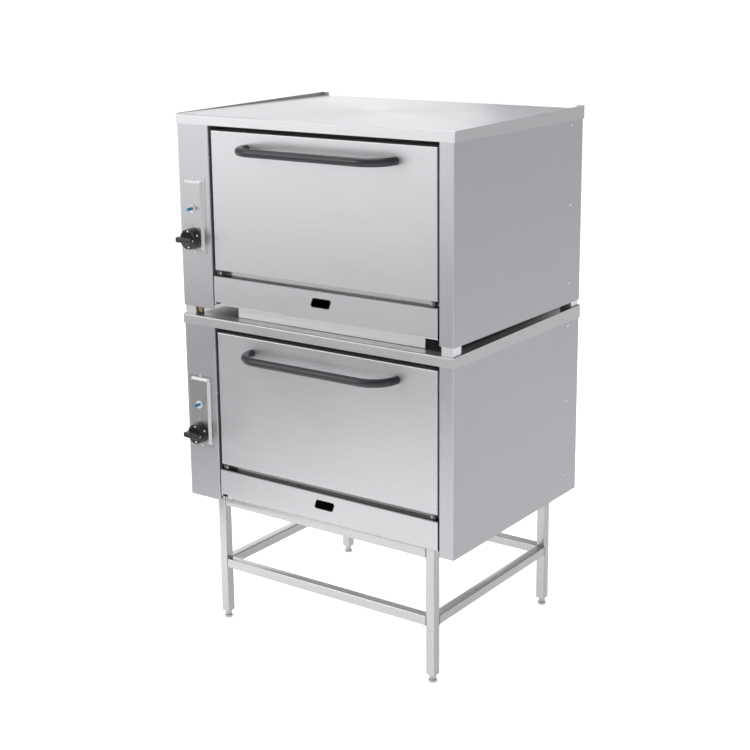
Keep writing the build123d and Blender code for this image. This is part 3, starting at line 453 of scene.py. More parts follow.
# volume by the divergence rule: a sixth of the sum of a . (b x c), to see which way faces point
def volumeOf(verts, faces):
    total = 0.0
    for size in (3, 4):
        some = np.array([f for f in faces if len(f) == size], int)
        if len(some):
            a, b, c = (verts[some[:, k]] for k in (0, 1, 2))
            total += np.einsum("ij,ij->i", a, np.cross(b, c)).sum()
            if size == 4:
                d = verts[some[:, 3]]
                total += np.einsum("ij,ij->i", a, np.cross(c, d)).sum()
    return total / 6


def newObject(name, data):
    made = bpy.data.objects.new(name, data)
    bpy.context.scene.collection.objects.link(made)
    return made


def addPiece(name, shells, finish, replaced=(), body=fixedBody, sharp=35.0):
    allVerts, allFaces, offset = [], [], 0
    for verts, faces in shells:
        if volumeOf(verts - verts.mean(axis=0), faces) < 0:
            faces = [face[::-1] for face in faces]
        allVerts.append(verts)
        allFaces += [[i + offset for i in face] for face in faces]
        offset += len(verts)
    mesh = bpy.data.meshes.new(name)
    mesh.from_pydata(np.vstack(allVerts).tolist(), [], allFaces)
    mesh.update()
    mesh.shade_smooth()
    mesh.set_sharp_from_angle(angle=math.radians(sharp))
    mesh.materials.append(finishes[finish])
    piece = newObject(name, mesh)
    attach(piece, body)
    if replaced:
        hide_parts(*replaced)


# which of a point's three numbers lies along an axis, and which two lie across it
def axisOrder(axis):
    along = "xyz".index(axis)
    first, second = [k for k in range(3) if k != along]
    return along, first, second


# turned form: radius r(position) carried round an axis; shaping may change it by place and angle
def turned(axis, centre, profile, sides=48, shaping=None):
    profile = np.array(profile, float)
    turn = np.linspace(0, 2 * pi, sides, endpoint=False)
    radius = profile[:, 1:2] * np.ones_like(turn)[None, :]
    if shaping is not None:
        radius = shaping(profile[:, 0:1], turn[None, :], radius)
    along, first, second = axisOrder(axis)
    rings = np.zeros((len(profile), sides, 3))
    rings[..., first] = centre[first] + radius * np.cos(turn)
    rings[..., second] = centre[second] + radius * np.sin(turn)
    rings[..., along] = profile[:, 0:1]
    return shell(rings)


# quarter rounds of a turned profile: out to its full radius at a start, back in at an end
def roundStart(start, radius, edge, steps=7):
    t = np.linspace(0, pi / 2, steps)
    return np.stack([start + edge - edge * np.cos(t), radius - edge + edge * np.sin(t)], axis=-1)


def roundEnd(end, radius, edge, steps=7):
    t = np.linspace(0, pi / 2, steps)
    return np.stack([end - edge + edge * np.sin(t), radius - edge + edge * np.cos(t)], axis=-1)


# half-round head on a seat: position seat + h sin t, radius r cos t
def dome(axis, outward, seat, centre, radius, height, sides=24, reach=0.97, sunk=0.0005):
    t = np.linspace(0, pi / 2 * reach, 7)
    profile = np.stack([seat + outward * height * np.sin(t), radius * np.cos(t)], axis=-1)
    return turned(axis, centre, np.vstack([[(seat - outward * sunk, radius)], profile]), sides)


# hexagon: apothem over the cosine of the angle from the nearest flat's middle, cut by a cone
def hexNut(axis, centre, low, high, across, chamfer=0.0012, sides=96, face=0.98):
    corner, cut = across / 2 / math.cos(pi / 6), across / 2 * face

    def shaping(position, turn, radius):
        flat = across / 2 / np.cos((turn % (pi / 3)) - pi / 6)
        return np.minimum(flat, radius)

    profile = [(low, cut), (low + chamfer, corner), (high - chamfer, corner), (high, cut)]
    return turned(axis, centre, profile, sides, shaping)


# screw thread: the radius rises and falls as the sine of (turn minus two pi times place / pitch)
def threadedRod(axis, centre, low, high, radius, pitch, depth, sides=36):
    count = max(8, int((high - low) / pitch * 7))
    stations = np.linspace(low, high, count)
    edge = np.clip(np.minimum(stations - low, high - stations) / pitch, 0, 1)

    def shaping(position, turn, radius):
        return radius + depth / 2 * (np.sin(turn - 2 * pi * position / pitch) - 1)

    profile = np.stack([stations, radius - (1 - edge) * depth], axis=-1)
    return turned(axis, centre, profile, sides, shaping)


# quarter rounds between straight runs: start, arc points and end of every corner
def roundedPath(points, bend, steps=12, closed=False):
    points = np.array(points, float)
    count = len(points)
    path = []
    for i in range(count):
        if not closed and i in (0, count - 1):
            path.append(points[i][None, :])
            continue
        back = points[i - 1] - points[i]
        ahead = points[(i + 1) % count] - points[i]
        back, ahead = back / np.linalg.norm(back), ahead / np.linalg.norm(ahead)
        half = math.acos(np.clip(back @ ahead, -1, 1)) / 2
        centre = points[i] + (back + ahead) / np.linalg.norm(back + ahead) * bend / math.sin(half)
        start = points[i] + back * bend / math.tan(half) - centre
        end = points[i] + ahead * bend / math.tan(half) - centre
        sweep = pi - 2 * half
        t = np.linspace(0, 1, steps + 1)[:, None]
        arc = (np.sin((1 - t) * sweep) * start + np.sin(t * sweep) * end) / math.sin(sweep)
        path.append(centre + arc)
    return np.vstack(path)


# points at even steps along a closed path, with the share of its length run so far
def evenPath(path, step):
    loop = np.vstack([path, path[:1]])
    run = np.concatenate([[0.0], np.cumsum(np.linalg.norm(np.diff(loop, axis=0), axis=1))])
    at = np.linspace(0, run[-1], int(run[-1] / step), endpoint=False)
    return np.stack([np.interp(at, run, loop[:, k]) for k in range(3)], axis=-1), at / run[-1]


# a profile (across, up) carried along a flat path, with up the normal of the path's plane;
# swell multiplies the profile, along the path and round it
def carried(profile, path, up, closed=False, swell=1.0):
    profile, path, up = np.array(profile, float), np.array(path, float), np.array(up, float)
    if closed:
        before, after = np.roll(path, 1, axis=0), np.roll(path, -1, axis=0)
    else:
        before = np.vstack([path[:1] * 2 - path[1:2], path[:-1]])
        after = np.vstack([path[1:], path[-1:] * 2 - path[-2:-1]])
    inward, outward = path - before, after - path
    inward /= np.linalg.norm(inward, axis=1)[:, None]
    outward /= np.linalg.norm(outward, axis=1)[:, None]
    tangent = inward + outward
    tangent /= np.linalg.norm(tangent, axis=1)[:, None]
    stretch = 1 / np.clip(np.einsum("ij,ij->i", tangent, outward), 0.3, 1.0)
    side = np.cross(tangent, up) * stretch[:, None]
    factor = swell * np.ones((len(path), len(profile)))
    rings = (path[:, None, :] + (profile[None, :, 0] * factor)[..., None] * side[:, None, :]
             + (profile[None, :, 1] * factor)[..., None] * up)
    return shell(rings, closed)


def ring(radius, sides, flatten=1.0):
    turn = np.linspace(0, 2 * pi, sides, endpoint=False)
    return np.stack([radius * np.cos(turn), radius * flatten * np.sin(turn)], axis=-1)


# rectangle with round corners: a quarter circle of points about each inner corner
def roundedSquare(width, height, corner, steps=6):
    turn = np.linspace(0, pi / 2, steps)
    parts = []
    for i, (sx, sy) in enumerate(((1, 1), (-1, 1), (-1, -1), (1, -1))):
        angle = turn + i * pi / 2
        parts.append(np.stack([sx * (width / 2 - corner) + corner * np.cos(angle),
                               sy * (height / 2 - corner) + corner * np.sin(angle)], axis=-1))
    return np.vstack(parts)


# outline in the plane across an axis, put at a place along it
def laidAcross(axis, outline, middle, station):
    along, first, second = axisOrder(axis)
    points = np.zeros((len(outline), 3))
    points[:, first] = middle[first] + outline[:, 0]
    points[:, second] = middle[second] + outline[:, 1]
    points[:, along] = station
    return points


# square tube: a rounded square at four stations along the axis, drawn in a little at both ends
def squareTube(axis, low, high, corner, draw=0.0006):
    along, first, second = axisOrder(axis)
    size, middle = high - low, (low + high) / 2
    rings = []
    for station, inset in ((low[along], draw), (low[along] + draw, 0),
                           (high[along] - draw, 0), (high[along], draw)):
        outline = roundedSquare(size[first] - 2 * inset, size[second] - 2 * inset, corner - inset)
        rings.append(laidAcross(axis, outline, middle, station))
    return shell(np.stack(rings))


# rounded tubes, and a rippled weld bead round both ends of every rail
standLook = {"size": 0.030, "corner": 0.0035, "railDraw": 0.0002, "beadRadius": 0.0014,
             "beadSides": 10, "beadStep": 0.0008, "ripple": 0.22, "rippleStep": 0.0032}
tube, corner, draw = standLook["size"], standLook["corner"], standLook["railDraw"]
legs = [squareTube("z", low, high, corner) for low, high in solidBoxes("stand_legs")]
addPiece("drawn_legs", legs, "stand", ["stand_legs"])
rails, beads, railBoxes = [], [], []
standLow, standHigh = span("stand_rails")[:2]
innerLow, innerHigh = standLow[:2] + tube, standHigh[:2] - tube
for bottom in (standLow[2], standHigh[2] - tube):
    for y in (standLow[1], standHigh[1] - tube):
        railBoxes.append(("x", np.array([innerLow[0], y, bottom]),
                          np.array([innerHigh[0], y + tube, bottom + tube])))
    for x in (standLow[0], standHigh[0] - tube):
        railBoxes.append(("y", np.array([x, innerLow[1], bottom]),
                          np.array([x + tube, innerHigh[1], bottom + tube])))
for axis, low, high in railBoxes:
    rails.append(squareTube(axis, low, high, corner, draw))
    along = axisOrder(axis)[0]
    outline = roundedSquare(high[2] - low[2], high[2] - low[2], corner)
    ripples = round(4 * (high[2] - low[2]) / standLook["rippleStep"])
    for station in (low[along], high[along]):
        path, run = evenPath(laidAcross(axis, outline, (low + high) / 2, station),
                             standLook["beadStep"])
        swell = 1 + standLook["ripple"] * np.sin(2 * pi * ripples * run)[:, None]
        beads.append(carried(ring(standLook["beadRadius"], standLook["beadSides"]), path,
                             np.eye(3)[along], True, swell))
addPiece("drawn_rails", rails, "stand", ["stand_rails"])
addPiece("weld_beads", beads, "weld", sharp=60.0)
posts = [squareTube("z", low, high, corner, draw) for low, high in solidBoxes("deck_feet")]
addPiece("drawn_deck_feet", posts, "innerSheet", ["deck_feet"])
print("stand made:", len(legs), "legs,", len(rails), "rails,", len(beads), "welds")

# levelling foot: round pad, hexagon and lock nut in one piece, and its threaded stud
footLook = {"padHeight": 0.0095, "padEdge": 0.0026, "padHollow": 0.003, "padShoulder": 0.002,
            "hexTop": 0.0160, "hexAcross": 0.019, "hexSunk": 0.0005, "nutBottom": 0.0166,
            "nutTop": 0.0255, "nutAcross": 0.021, "studRadius": 0.005, "studSunk": 0.001,
            "pitch": 0.0016, "depth": 0.0009, "sides": 56}
for place in footPlaces:
    foot = f"{place}_foot"
    low, high, middle = span(foot)
    padTop, hexTop, edge = footLook["padHeight"], footLook["hexTop"], footLook["padEdge"]
    big, flats = (high[0] - low[0]) / 2, footLook["hexAcross"]
    pad = np.vstack([[(0.0, big - footLook["padHollow"])], roundStart(0.0, big, edge),
                     roundEnd(padTop, big, edge), [(padTop, flats / 2 - footLook["padShoulder"])]])
    addPiece(f"{place}_turned_pad",
             [turned("z", middle, pad, footLook["sides"]),
              hexNut("z", middle, padTop - footLook["hexSunk"], hexTop, flats),
              hexNut("z", middle, footLook["nutBottom"], footLook["nutTop"],
                     footLook["nutAcross"])],
             "chrome", [foot], foot)
    stud = threadedRod("z", middle, hexTop - footLook["studSunk"], high[2],
                       footLook["studRadius"], footLook["pitch"], footLook["depth"])
    addPiece(f"{place}_threaded_stud", [stud], "stem", body=foot, sharp=60.0)
print("levelling feet made")

screwLook = {"radius": 0.0045, "headHeight": 0.0022, "armWidth": 0.0009, "armLength": 0.0026,
             "armBlur": 0.0003, "recess": 0.0011, "shankRadius": 0.002, "shankLength": 0.0045,
             "sides": 48, "rings": 22, "centre": 0.04, "crown": 0.92}


# pan head over polar points: the dome's height, less the recess where either arm of the cross lies
def screwHead(axis, outward, seat, tip, centre):
    big, shankRadius, sides = screwLook["radius"], screwLook["shankRadius"], screwLook["sides"]
    r = np.linspace(screwLook["centre"], 1.0, screwLook["rings"])[:, None] * big
    turn = np.linspace(0, 2 * pi, sides, endpoint=False)[None, :]
    a, b = r * np.cos(turn), r * np.sin(turn)
    height = abs(tip - seat) * np.sqrt(np.clip(1 - screwLook["crown"] * (r / big) ** 4, 0, 1))
    width, length = screwLook["armWidth"] / 2, screwLook["armLength"]

    def inside(value, limit):
        return np.clip((limit - np.abs(value)) / screwLook["armBlur"] + 0.5, 0, 1)

    arms = np.maximum(inside(a, width) * inside(b, length), inside(b, width) * inside(a, length))
    along, first, second = axisOrder(axis)
    rings = np.zeros(height.shape[:1] + (sides, 3))
    rings[..., first], rings[..., second] = centre[first] + a, centre[second] + b
    rings[..., along] = seat + outward * (height - screwLook["recess"] * arms)
    shank = [laidAcross(axis, ring(radius, sides), centre, station)
             for station, radius in ((seat, big), (seat, shankRadius),
                                     (seat - outward * screwLook["shankLength"], shankRadius))]
    return shell(np.vstack([rings, np.stack(shank)]))


screwPieces = []
for low, high in solidBoxes("casing_screws"):
    middle, along = (low + high) / 2, int(np.argmin(high - low))
    outward = -1 if along == 1 or middle[along] < 0 else 1
    tip = high[along] if outward > 0 else low[along]
    screwPieces.append(screwHead("xyz"[along], outward, tip - outward * screwLook["headHeight"],
                                 tip, middle))
addPiece("pan_head_screws", screwPieces, "screw", ["casing_screws"], sharp=50.0)
print("screws made:", len(screwPieces))

# rows of small rivets: down the lid's edges, and in the gaps beside the doors
rivetLook = {"radius": 0.0026, "height": 0.0011, "edge": 0.030,
             "alongFront": (-0.250, -0.018, 0.214), "alongBack": (-0.275, -0.053, 0.169, 0.390),
             "alongSide": (-0.283, -0.022, 0.206), "gapHeights": (0.241, 0.355, 0.469),
             "gapRadius": 0.0022, "gapHeight": 0.0009, "gapDepth": 0.0045, "sides": 20,
             "gapSides": 16}
for deck, base in deckBases.items():
    low, high = span(f"{deck}_top_cover")[:2]
    lidTop, edge = base + deckHeight, rivetLook["edge"]
    heads = ([(x, low[1] + edge) for x in rivetLook["alongFront"]]
             + [(x, high[1] - edge) for x in rivetLook["alongBack"]]
             + [(x, y) for y in rivetLook["alongSide"] for x in (low[0] + edge, high[0] - edge)])
    addPiece(f"{deck}_lid_rivets",
             [dome("z", 1, lidTop, (x, y, lidTop), rivetLook["radius"], rivetLook["height"],
                   rivetLook["sides"]) for x, y in heads], "screw")
    doorLow, doorHigh = span(f"{deck}_door_skin")[:2]
    y = doorLow[1] + rivetLook["gapDepth"]
    columnEdge, postEdge = span(f"{deck}_left_casing")[1][0], span(f"{deck}_right_casing")[0][0]
    for kind, body, seats in (("door", f"{deck}_door", ((-1, doorLow[0]), (1, doorHigh[0]))),
                              ("column", fixedBody, ((1, columnEdge), (-1, postEdge)))):
        rivets = [dome("x", side, seat, (seat, y, base + rise), rivetLook["gapRadius"],
                       rivetLook["gapHeight"], rivetLook["gapSides"])
                  for rise in rivetLook["gapHeights"] for side, seat in seats]
        addPiece(f"{deck}_{kind}_rivets", rivets, "screw", body=body)
print("rivets made")

handleLook = {"bend": 0.075, "sides": 40, "steps": 20}
for deck in deckBases:
    low, high, middle = span(f"{deck}_door_handle")
    radius = (high[2] - low[2]) / 2
    left, right, front, door = low[0] + radius, high[0] - radius, low[1] + radius, high[1]
    path = roundedPath([(x, y, middle[2]) for x, y in ((left, door), (left, front),
                                                       (right, front), (right, door))],
                       handleLook["bend"], handleLook["steps"])
    bar = carried(ring(radius, handleLook["sides"]), path, (0, 0, 1))
    addPiece(f"{deck}_smooth_handle", [bar], "handle",
             [f"{deck}_door_handle"], f"{deck}_door")
print("handles made")

# black edging pressed round the slanted lighting slot
slotLook = {"middle": 0.040, "width": 0.068, "slant": 0.010, "bottom": 0.056, "height": 0.027,
            "corner": 0.006, "thick": 0.0013, "sunk": 0.0006, "sides": 14, "steps": 8}
for deck, base in deckBases.items():
    face = span(f"{deck}_fascia")[0][1] + slotLook["sunk"]
    half, lean = slotLook["width"] / 2, slotLook["slant"] / 2
    foot, head = base + slotLook["bottom"], base + slotLook["bottom"] + slotLook["height"]
    corners = [(slotLook["middle"] + x, face, z)
               for x, z in ((-half - lean, foot), (half - lean, foot),
                            (half + lean, head), (-half + lean, head))]
    path = roundedPath(corners, slotLook["corner"], slotLook["steps"], True)
    edging = carried(ring(slotLook["thick"], slotLook["sides"]), path, (0, 1, 0), True)
    addPiece(f"{deck}_slot_edging", [edging], "edging")
print("slot edgings made")

# turned disc, and a bar grip whose outline is a block with round corners; the dots lie on the
# disc's face (across, up), on its side (across, back, up) and on the grip's end
knobLook = {"sides": 72, "edge": 0.002, "backRadius": 0.033, "frontRadius": 0.031,
            "discDepth": 0.022, "dish": (0.0008, 0.020), "dishRim": 0.0212, "hub": 0.0045,
            "stem": 0.003, "gripLength": 0.064, "gripWidth": 0.017, "gripDepth": 0.020,
            "gripRoot": 0.004, "gripEdge": 0.003, "gripCorner": 0.0055, "cornerShare": 0.8,
            "dotRadius": 0.0028, "dotHeight": 0.0005,
            "faceDots": ((0.0015, 0.0255), (0.004, -0.0240)), "sideDot": (0.0288, 0.013, 0.0128),
            "sideScale": 1.35, "sideHeight": 0.0022, "endDot": (0.0004, 0.011),
            "endScale": 1.6}
knobMiddles = {}
for deck in deckBases:
    low, high, middle = span(f"{deck}_temperature_knob")
    gripFront, stemBack, edge = low[1], high[1], knobLook["edge"]
    discFront = gripFront + knobLook["gripDepth"]
    discBack = discFront + knobLook["discDepth"]
    sunk, inner = knobLook["dish"]
    profile = np.vstack([[(discFront + sunk, inner), (discFront, knobLook["dishRim"])],
                         roundStart(discFront, knobLook["frontRadius"], edge),
                         roundEnd(discBack, knobLook["backRadius"], edge),
                         [(discBack, knobLook["hub"]), (discBack, knobLook["stem"]),
                          (stemBack, knobLook["stem"])]])
    disc = turned("y", middle, profile, knobLook["sides"])
    turn, fold = np.linspace(0, pi / 2, 7), knobLook["gripEdge"]
    insets = np.concatenate([[0.0], fold * (1 - np.cos(turn))])
    depths = np.concatenate([[discFront + knobLook["gripRoot"]],
                             gripFront + fold * (1 - np.sin(turn))])
    layers = [laidAcross("y", roundedSquare(knobLook["gripLength"] - 2 * inset,
                                            knobLook["gripWidth"] - 2 * inset,
                                            knobLook["gripCorner"]
                                            - inset * knobLook["cornerShare"]), middle, depth)
              for inset, depth in zip(insets, depths)]
    addPiece(f"{deck}_moulded_knob", [disc, shell(np.stack(layers))], "knob",
             [f"{deck}_temperature_knob"], f"{deck}_knob")
    dot, rise = knobLook["dotRadius"], knobLook["dotHeight"]
    spots = [dome("y", -1, discFront, (middle[0] + x, discFront, middle[2] + z), dot, rise)
             for x, z in knobLook["faceDots"]]
    x, back, z = knobLook["sideDot"]
    spots.append(dome("x", 1, middle[0] + x, (0, discFront + back, middle[2] + z),
                      dot * knobLook["sideScale"], knobLook["sideHeight"]))
    gripEnd = middle[0] + knobLook["gripLength"] / 2
    x, front = knobLook["endDot"]
    spots.append(dome("x", 1, gripEnd - x, (gripEnd, discFront - front, middle[2]),
                      dot * knobLook["endScale"], rise))
    addPiece(f"{deck}_knob_dots", spots, "whitePaint", body=f"{deck}_knob")
    knobMiddles[deck] = middle
print("knobs made")

# bezel with a bored nose (behind the front, radius), its push rod, and the knob's index dot
igniterLook = {"sides": 64, "rodSides": 40, "bezelRadius": 0.013, "bodyRadius": 0.009,
               "bore": 0.00505, "boreDepth": 0.030, "boreFloor": 0.2, "lip": 0.0012,
               "nose": ((0.0016, 0.0), (0.0012, 0.0008)),
               "face": ((0.0010, 0.0040), (0.0002, 0.0026)), "tipRound": 0.0022,
               "dotRadius": 0.0038, "dotHeight": 0.0006, "dotLeft": 0.003, "dotRise": 0.041}
for deck in deckBases:
    low, high, middle = span(f"{deck}_igniter")
    plateLow, plateMiddle = span(f"{deck}_control_plate")[::2]
    front, face, body = low[1], plateLow[1], igniterLook["bodyRadius"]
    bore, big, lip = igniterLook["bore"], igniterLook["bezelRadius"], igniterLook["lip"]
    end = front + igniterLook["boreDepth"]
    profile = np.vstack([[(end, bore * igniterLook["boreFloor"]), (end, bore)],
                         [(front + y, bore + r) for y, r in igniterLook["nose"]],
                         [(front + y, big - r) for y, r in igniterLook["face"]],
                         roundStart(front, big, lip), [(face, big), (face, body),
                                                       (high[1], body)]])
    addPiece(f"{deck}_igniter_bezel", [turned("y", middle, profile, igniterLook["sides"])],
             "ceramic", [f"{deck}_igniter"])
    low, high, middle = span(f"{deck}_igniter_button")
    radius = (high[2] - low[2]) / 2
    profile = np.vstack([roundStart(low[1], radius, igniterLook["tipRound"]), [(high[1], radius)]])
    addPiece(f"{deck}_push_rod", [turned("y", middle, profile, igniterLook["rodSides"])], "blue",
             [f"{deck}_igniter_button"], f"{deck}_button")
    spot = (plateMiddle[0] - igniterLook["dotLeft"], 0,
            knobMiddles[deck][2] + igniterLook["dotRise"])
    dot = dome("y", -1, face, spot, igniterLook["dotRadius"], igniterLook["dotHeight"])
    addPiece(f"{deck}_index_dot", [dot], "redPaint")
print("igniters made")

# wire shelf: a closed round-cornered frame with rod ends laid over it
rackLook = {"frameRadius": 0.004, "wireRadius": 0.0025, "corner": 0.020, "wires": 11,
            "tip": 0.05, "frameSides": 20, "wireSides": 16}
for deck in deckBases:
    low, high = span(f"{deck}_oven_rack")[:2]
    thick, thin = rackLook["frameRadius"], rackLook["wireRadius"]
    left, right, front, back = low[0] + thick, high[0] - thick, low[1] + thick, high[1] - thick
    z = low[2] + thick
    path = roundedPath([(left, front, z), (right, front, z), (right, back, z), (left, back, z)],
                       rackLook["corner"], 10, True)
    wires = [carried(ring(thick, rackLook["frameSides"]), path, (0, 0, 1), True)]
    profile = np.vstack([roundStart(front - thick, thin, thin, 5),
                         roundEnd(back + thick, thin, thin, 5)])
    profile[:, 1] = np.maximum(profile[:, 1], thin * rackLook["tip"])
    wires += [turned("y", (x, 0, high[2] - thin), profile, rackLook["wireSides"])
              for x in np.linspace(left, right, rackLook["wires"] + 2)[1:-1]]
    addPiece(f"{deck}_wire_shelf", wires, "wire", [f"{deck}_oven_rack"])
print("shelves made")

# braid round the mouth: radius times one plus the product of two crossing waves
sealLook = {"width": 0.009, "corner": 0.009, "strands": 3, "pitch": 0.009, "depth": 0.10,
            "step": 0.0011, "sides": 18}
for deck in deckBases:
    low, high = span(f"{deck}_door_seal")[:2]
    half, thick, sides = sealLook["width"] / 2, high[1] - low[1], sealLook["sides"]
    y = high[1] - thick / 2
    corners = [(low[0] + half, y, low[2] + half), (high[0] - half, y, low[2] + half),
               (high[0] - half, y, high[2] - half), (low[0] + half, y, high[2] - half)]
    path, run = evenPath(roundedPath(corners, sealLook["corner"], 10, True), sealLook["step"])
    length = len(path) * sealLook["step"]
    phase = 2 * pi * round(length / sealLook["pitch"]) * run[:, None]
    angle = np.linspace(0, 2 * pi, sides, endpoint=False)[None, :] * sealLook["strands"]
    swell = 1 + sealLook["depth"] * np.sin(phase + angle) * np.sin(phase - angle)
    outline = ring(half / (1 + sealLook["depth"]), sides, thick / sealLook["width"])
    addPiece(f"{deck}_braided_seal", [carried(outline, path, (0, 1, 0), True, swell)],
             "braid", [f"{deck}_door_seal"], sharp=80.0)
print("seals made")

# supply from the rear inlet up to the valve, and the feed from the valve to the burner;
# heights are above the deck's base
pipeLook = {"supply": 0.0075, "supplySides": 32, "feed": 0.005, "feedSides": 24, "bend": 0.016,
            "socket": 0.0024, "reach": 0.024, "collar": 0.004, "step": 0.0005,
            "inletX": -0.453, "inletHeight": 0.060, "seatY": 0.39565, "valveY": -0.28915,
            "valveHeight": 0.192, "feedX": -0.431, "feedHeight": 0.062, "crossY": -0.18615,
            "feedEnd": -0.352, "stop": 0.03, "restart": 0.04, "nutAcross": 0.027,
            "nutHeight": 0.008, "inlet": 0.0105, "inletSunk": 0.007, "pitch": 0.0023,
            "threadDepth": 0.0014, "elbowSides": 32, "waist": 0.6}
rightward, backward, upward = np.eye(3)


def pipeRun(points, radius, sides, up):
    return carried(ring(radius, sides), roundedPath(points, pipeLook["bend"]), up)


# elbow with a thicker collar at each mouth
def socketElbow(corner, back, ahead, radius, up):
    reach, collar = pipeLook["reach"], pipeLook["collar"]
    inset = collar + pipeLook["step"]
    bend = roundedPath([corner + back * reach, corner, corner + ahead * reach], pipeLook["bend"])
    path = np.vstack([bend[:1], bend[:1] - back * collar, bend[:1] - back * inset, bend[1:-1],
                      bend[-1:] - ahead * inset, bend[-1:] - ahead * collar, bend[-1:]])
    swell = np.full((len(path), 1), radius + pipeLook["socket"] * pipeLook["waist"])
    swell[:2] = swell[-2:] = radius + pipeLook["socket"]
    return carried(ring(1.0, pipeLook["elbowSides"]), path, up, False, swell)


for deck, base in deckBases.items():
    high = span(f"{deck}_gas_pipe")[1]
    supply, feed, inletX, feedX = (pipeLook[k] for k in ("supply", "feed", "inletX", "feedX"))
    valveY, crossY, seatY = (pipeLook[k] for k in ("valveY", "crossY", "seatY"))
    valveZ, gasZ, feedZ = (base + pipeLook[k] for k in
                           ("valveHeight", "inletHeight", "feedHeight"))
    low, drop, bend = (np.array(corner) for corner in
                       ((inletX, valveY, gasZ), (feedX, valveY, feedZ), (feedX, crossY, feedZ)))
    pipes = [pipeRun([(inletX, valveY, valveZ), low, (inletX, seatY, gasZ)], supply,
                     pipeLook["supplySides"], rightward),
             pipeRun([(feedX, valveY, valveZ), drop, (feedX, crossY - pipeLook["stop"], feedZ)],
                     feed, pipeLook["feedSides"], rightward),
             pipeRun([(feedX, crossY - pipeLook["restart"], feedZ), bend,
                      (pipeLook["feedEnd"], crossY, feedZ)], feed, pipeLook["feedSides"], upward),
             socketElbow(low, upward, backward, supply, rightward),
             socketElbow(drop, upward, backward, feed, rightward),
             socketElbow(bend, -backward, rightward, feed, upward),
             hexNut("y", low, seatY, seatY + pipeLook["nutHeight"], pipeLook["nutAcross"]),
             threadedRod("y", low, seatY + pipeLook["inletSunk"], high[1], pipeLook["inlet"],
                         pipeLook["pitch"], pipeLook["threadDepth"])]
    addPiece(f"{deck}_drawn_pipe", pipes, "pipe", [f"{deck}_gas_pipe"], sharp=40.0)

# small brass fitting that hangs under the upper control column: depths are below the deck's base
fittingLook = {"place": (-0.4405, -0.3215, 0), "nuts": ((0.011, 0.002, 0.017),
                                                        (0.0175, 0.0115, 0.013)),
               "shank": ((0.0195, 0.0042), (0.019, 0.0050), (0.0025, 0.0050), (0.0, 0.0050)),
               "sides": 32}
place, top = fittingLook["place"], deckBases["upper"]
shank = [(top - depth, radius) for depth, radius in fittingLook["shank"]]
addPiece("drain_fitting",
         [hexNut("z", place, top - low, top - high, across)
          for low, high, across in fittingLook["nuts"]]
         + [turned("z", place, shank, fittingLook["sides"])], "dullBrass")
print("pipes made")

# burner: turned tubes with domed ends, a flared venturi, feet and two rows of raised ports;
# a port's profile is (rise over the tube, radius)
burnerLook = {"radius": 0.018, "cap": 0.006, "tubes": (-0.120, 0.200), "front": -0.22615,
              "back": 0.27385, "crossY": -0.18615, "height": 0.062, "throat": 0.012,
              "mouth": 0.015, "mouthX": -0.350, "flare": 0.030, "footWidth": 0.030,
              "footThickness": 0.003, "footInset": 0.030, "footHeight": 0.0262,
              "footCorner": 0.0012, "footDraw": 0.0003, "portPitch": 0.016, "portInset": 0.02,
              "portLean": 0.5, "port": ((-0.003, 0.0024), (0.0004, 0.0022), (0.0006, 0.0016),
                                        (-0.0010, 0.0011)),
              "sides": 40, "flareSides": 36, "portSides": 10}
for deck, base in deckBases.items():
    z, crossY, tubes = base + burnerLook["height"], burnerLook["crossY"], burnerLook["tubes"]
    front, back, radius = burnerLook["front"], burnerLook["back"], burnerLook["radius"]
    throat, mouth, cap = burnerLook["throat"], burnerLook["mouth"], burnerLook["cap"]
    turn = np.linspace(0.02, pi / 2, 8)
    parts = []
    for axis, start, end, centre in (("x", *tubes, (0, crossY, z)),
                                     ("y", front, back, (tubes[0], 0, z)),
                                     ("y", front, back, (tubes[1], 0, z))):
        capOne = np.stack([start + cap - cap * np.cos(turn), radius * np.sin(turn)], axis=-1)
        capTwo = capOne[::-1] * [-1, 1] + [start + end, 0]
        parts.append(turned(axis, centre, np.vstack([capOne, capTwo]),
                            burnerLook["sides"]))
    t = np.linspace(0, 1, 10)
    flare = np.stack([burnerLook["mouthX"] + burnerLook["flare"] * t,
                      throat + (mouth - throat) * (1 - t) ** 2], axis=-1)
    parts.append(turned("x", (0, crossY, z), np.vstack([flare, [(tubes[0], throat)]]),
                        burnerLook["flareSides"]))
    for x in tubes:
        for y in (front + burnerLook["footInset"], back - burnerLook["footInset"]):
            low = np.array([x - burnerLook["footWidth"] / 2, y, base + burnerLook["footHeight"]])
            high = np.array([x + burnerLook["footWidth"] / 2, y + burnerLook["footThickness"], z])
            parts.append(squareTube("z", low, high, burnerLook["footCorner"],
                                    burnerLook["footDraw"]))
        for y in np.arange(front + burnerLook["portInset"], back - burnerLook["portInset"],
                           burnerLook["portPitch"]):
            for lean in (-burnerLook["portLean"], burnerLook["portLean"]):
                top, side = z + radius * math.cos(lean), x + radius * math.sin(lean)
                parts.append(turned("z", (side, y, 0),
                                    [(top + rise, r) for rise, r in burnerLook["port"]],
                                    burnerLook["portSides"]))
    addPiece(f"{deck}_cast_burner", parts, "iron", [f"{deck}_burner"], sharp=40.0)
print("burners made")

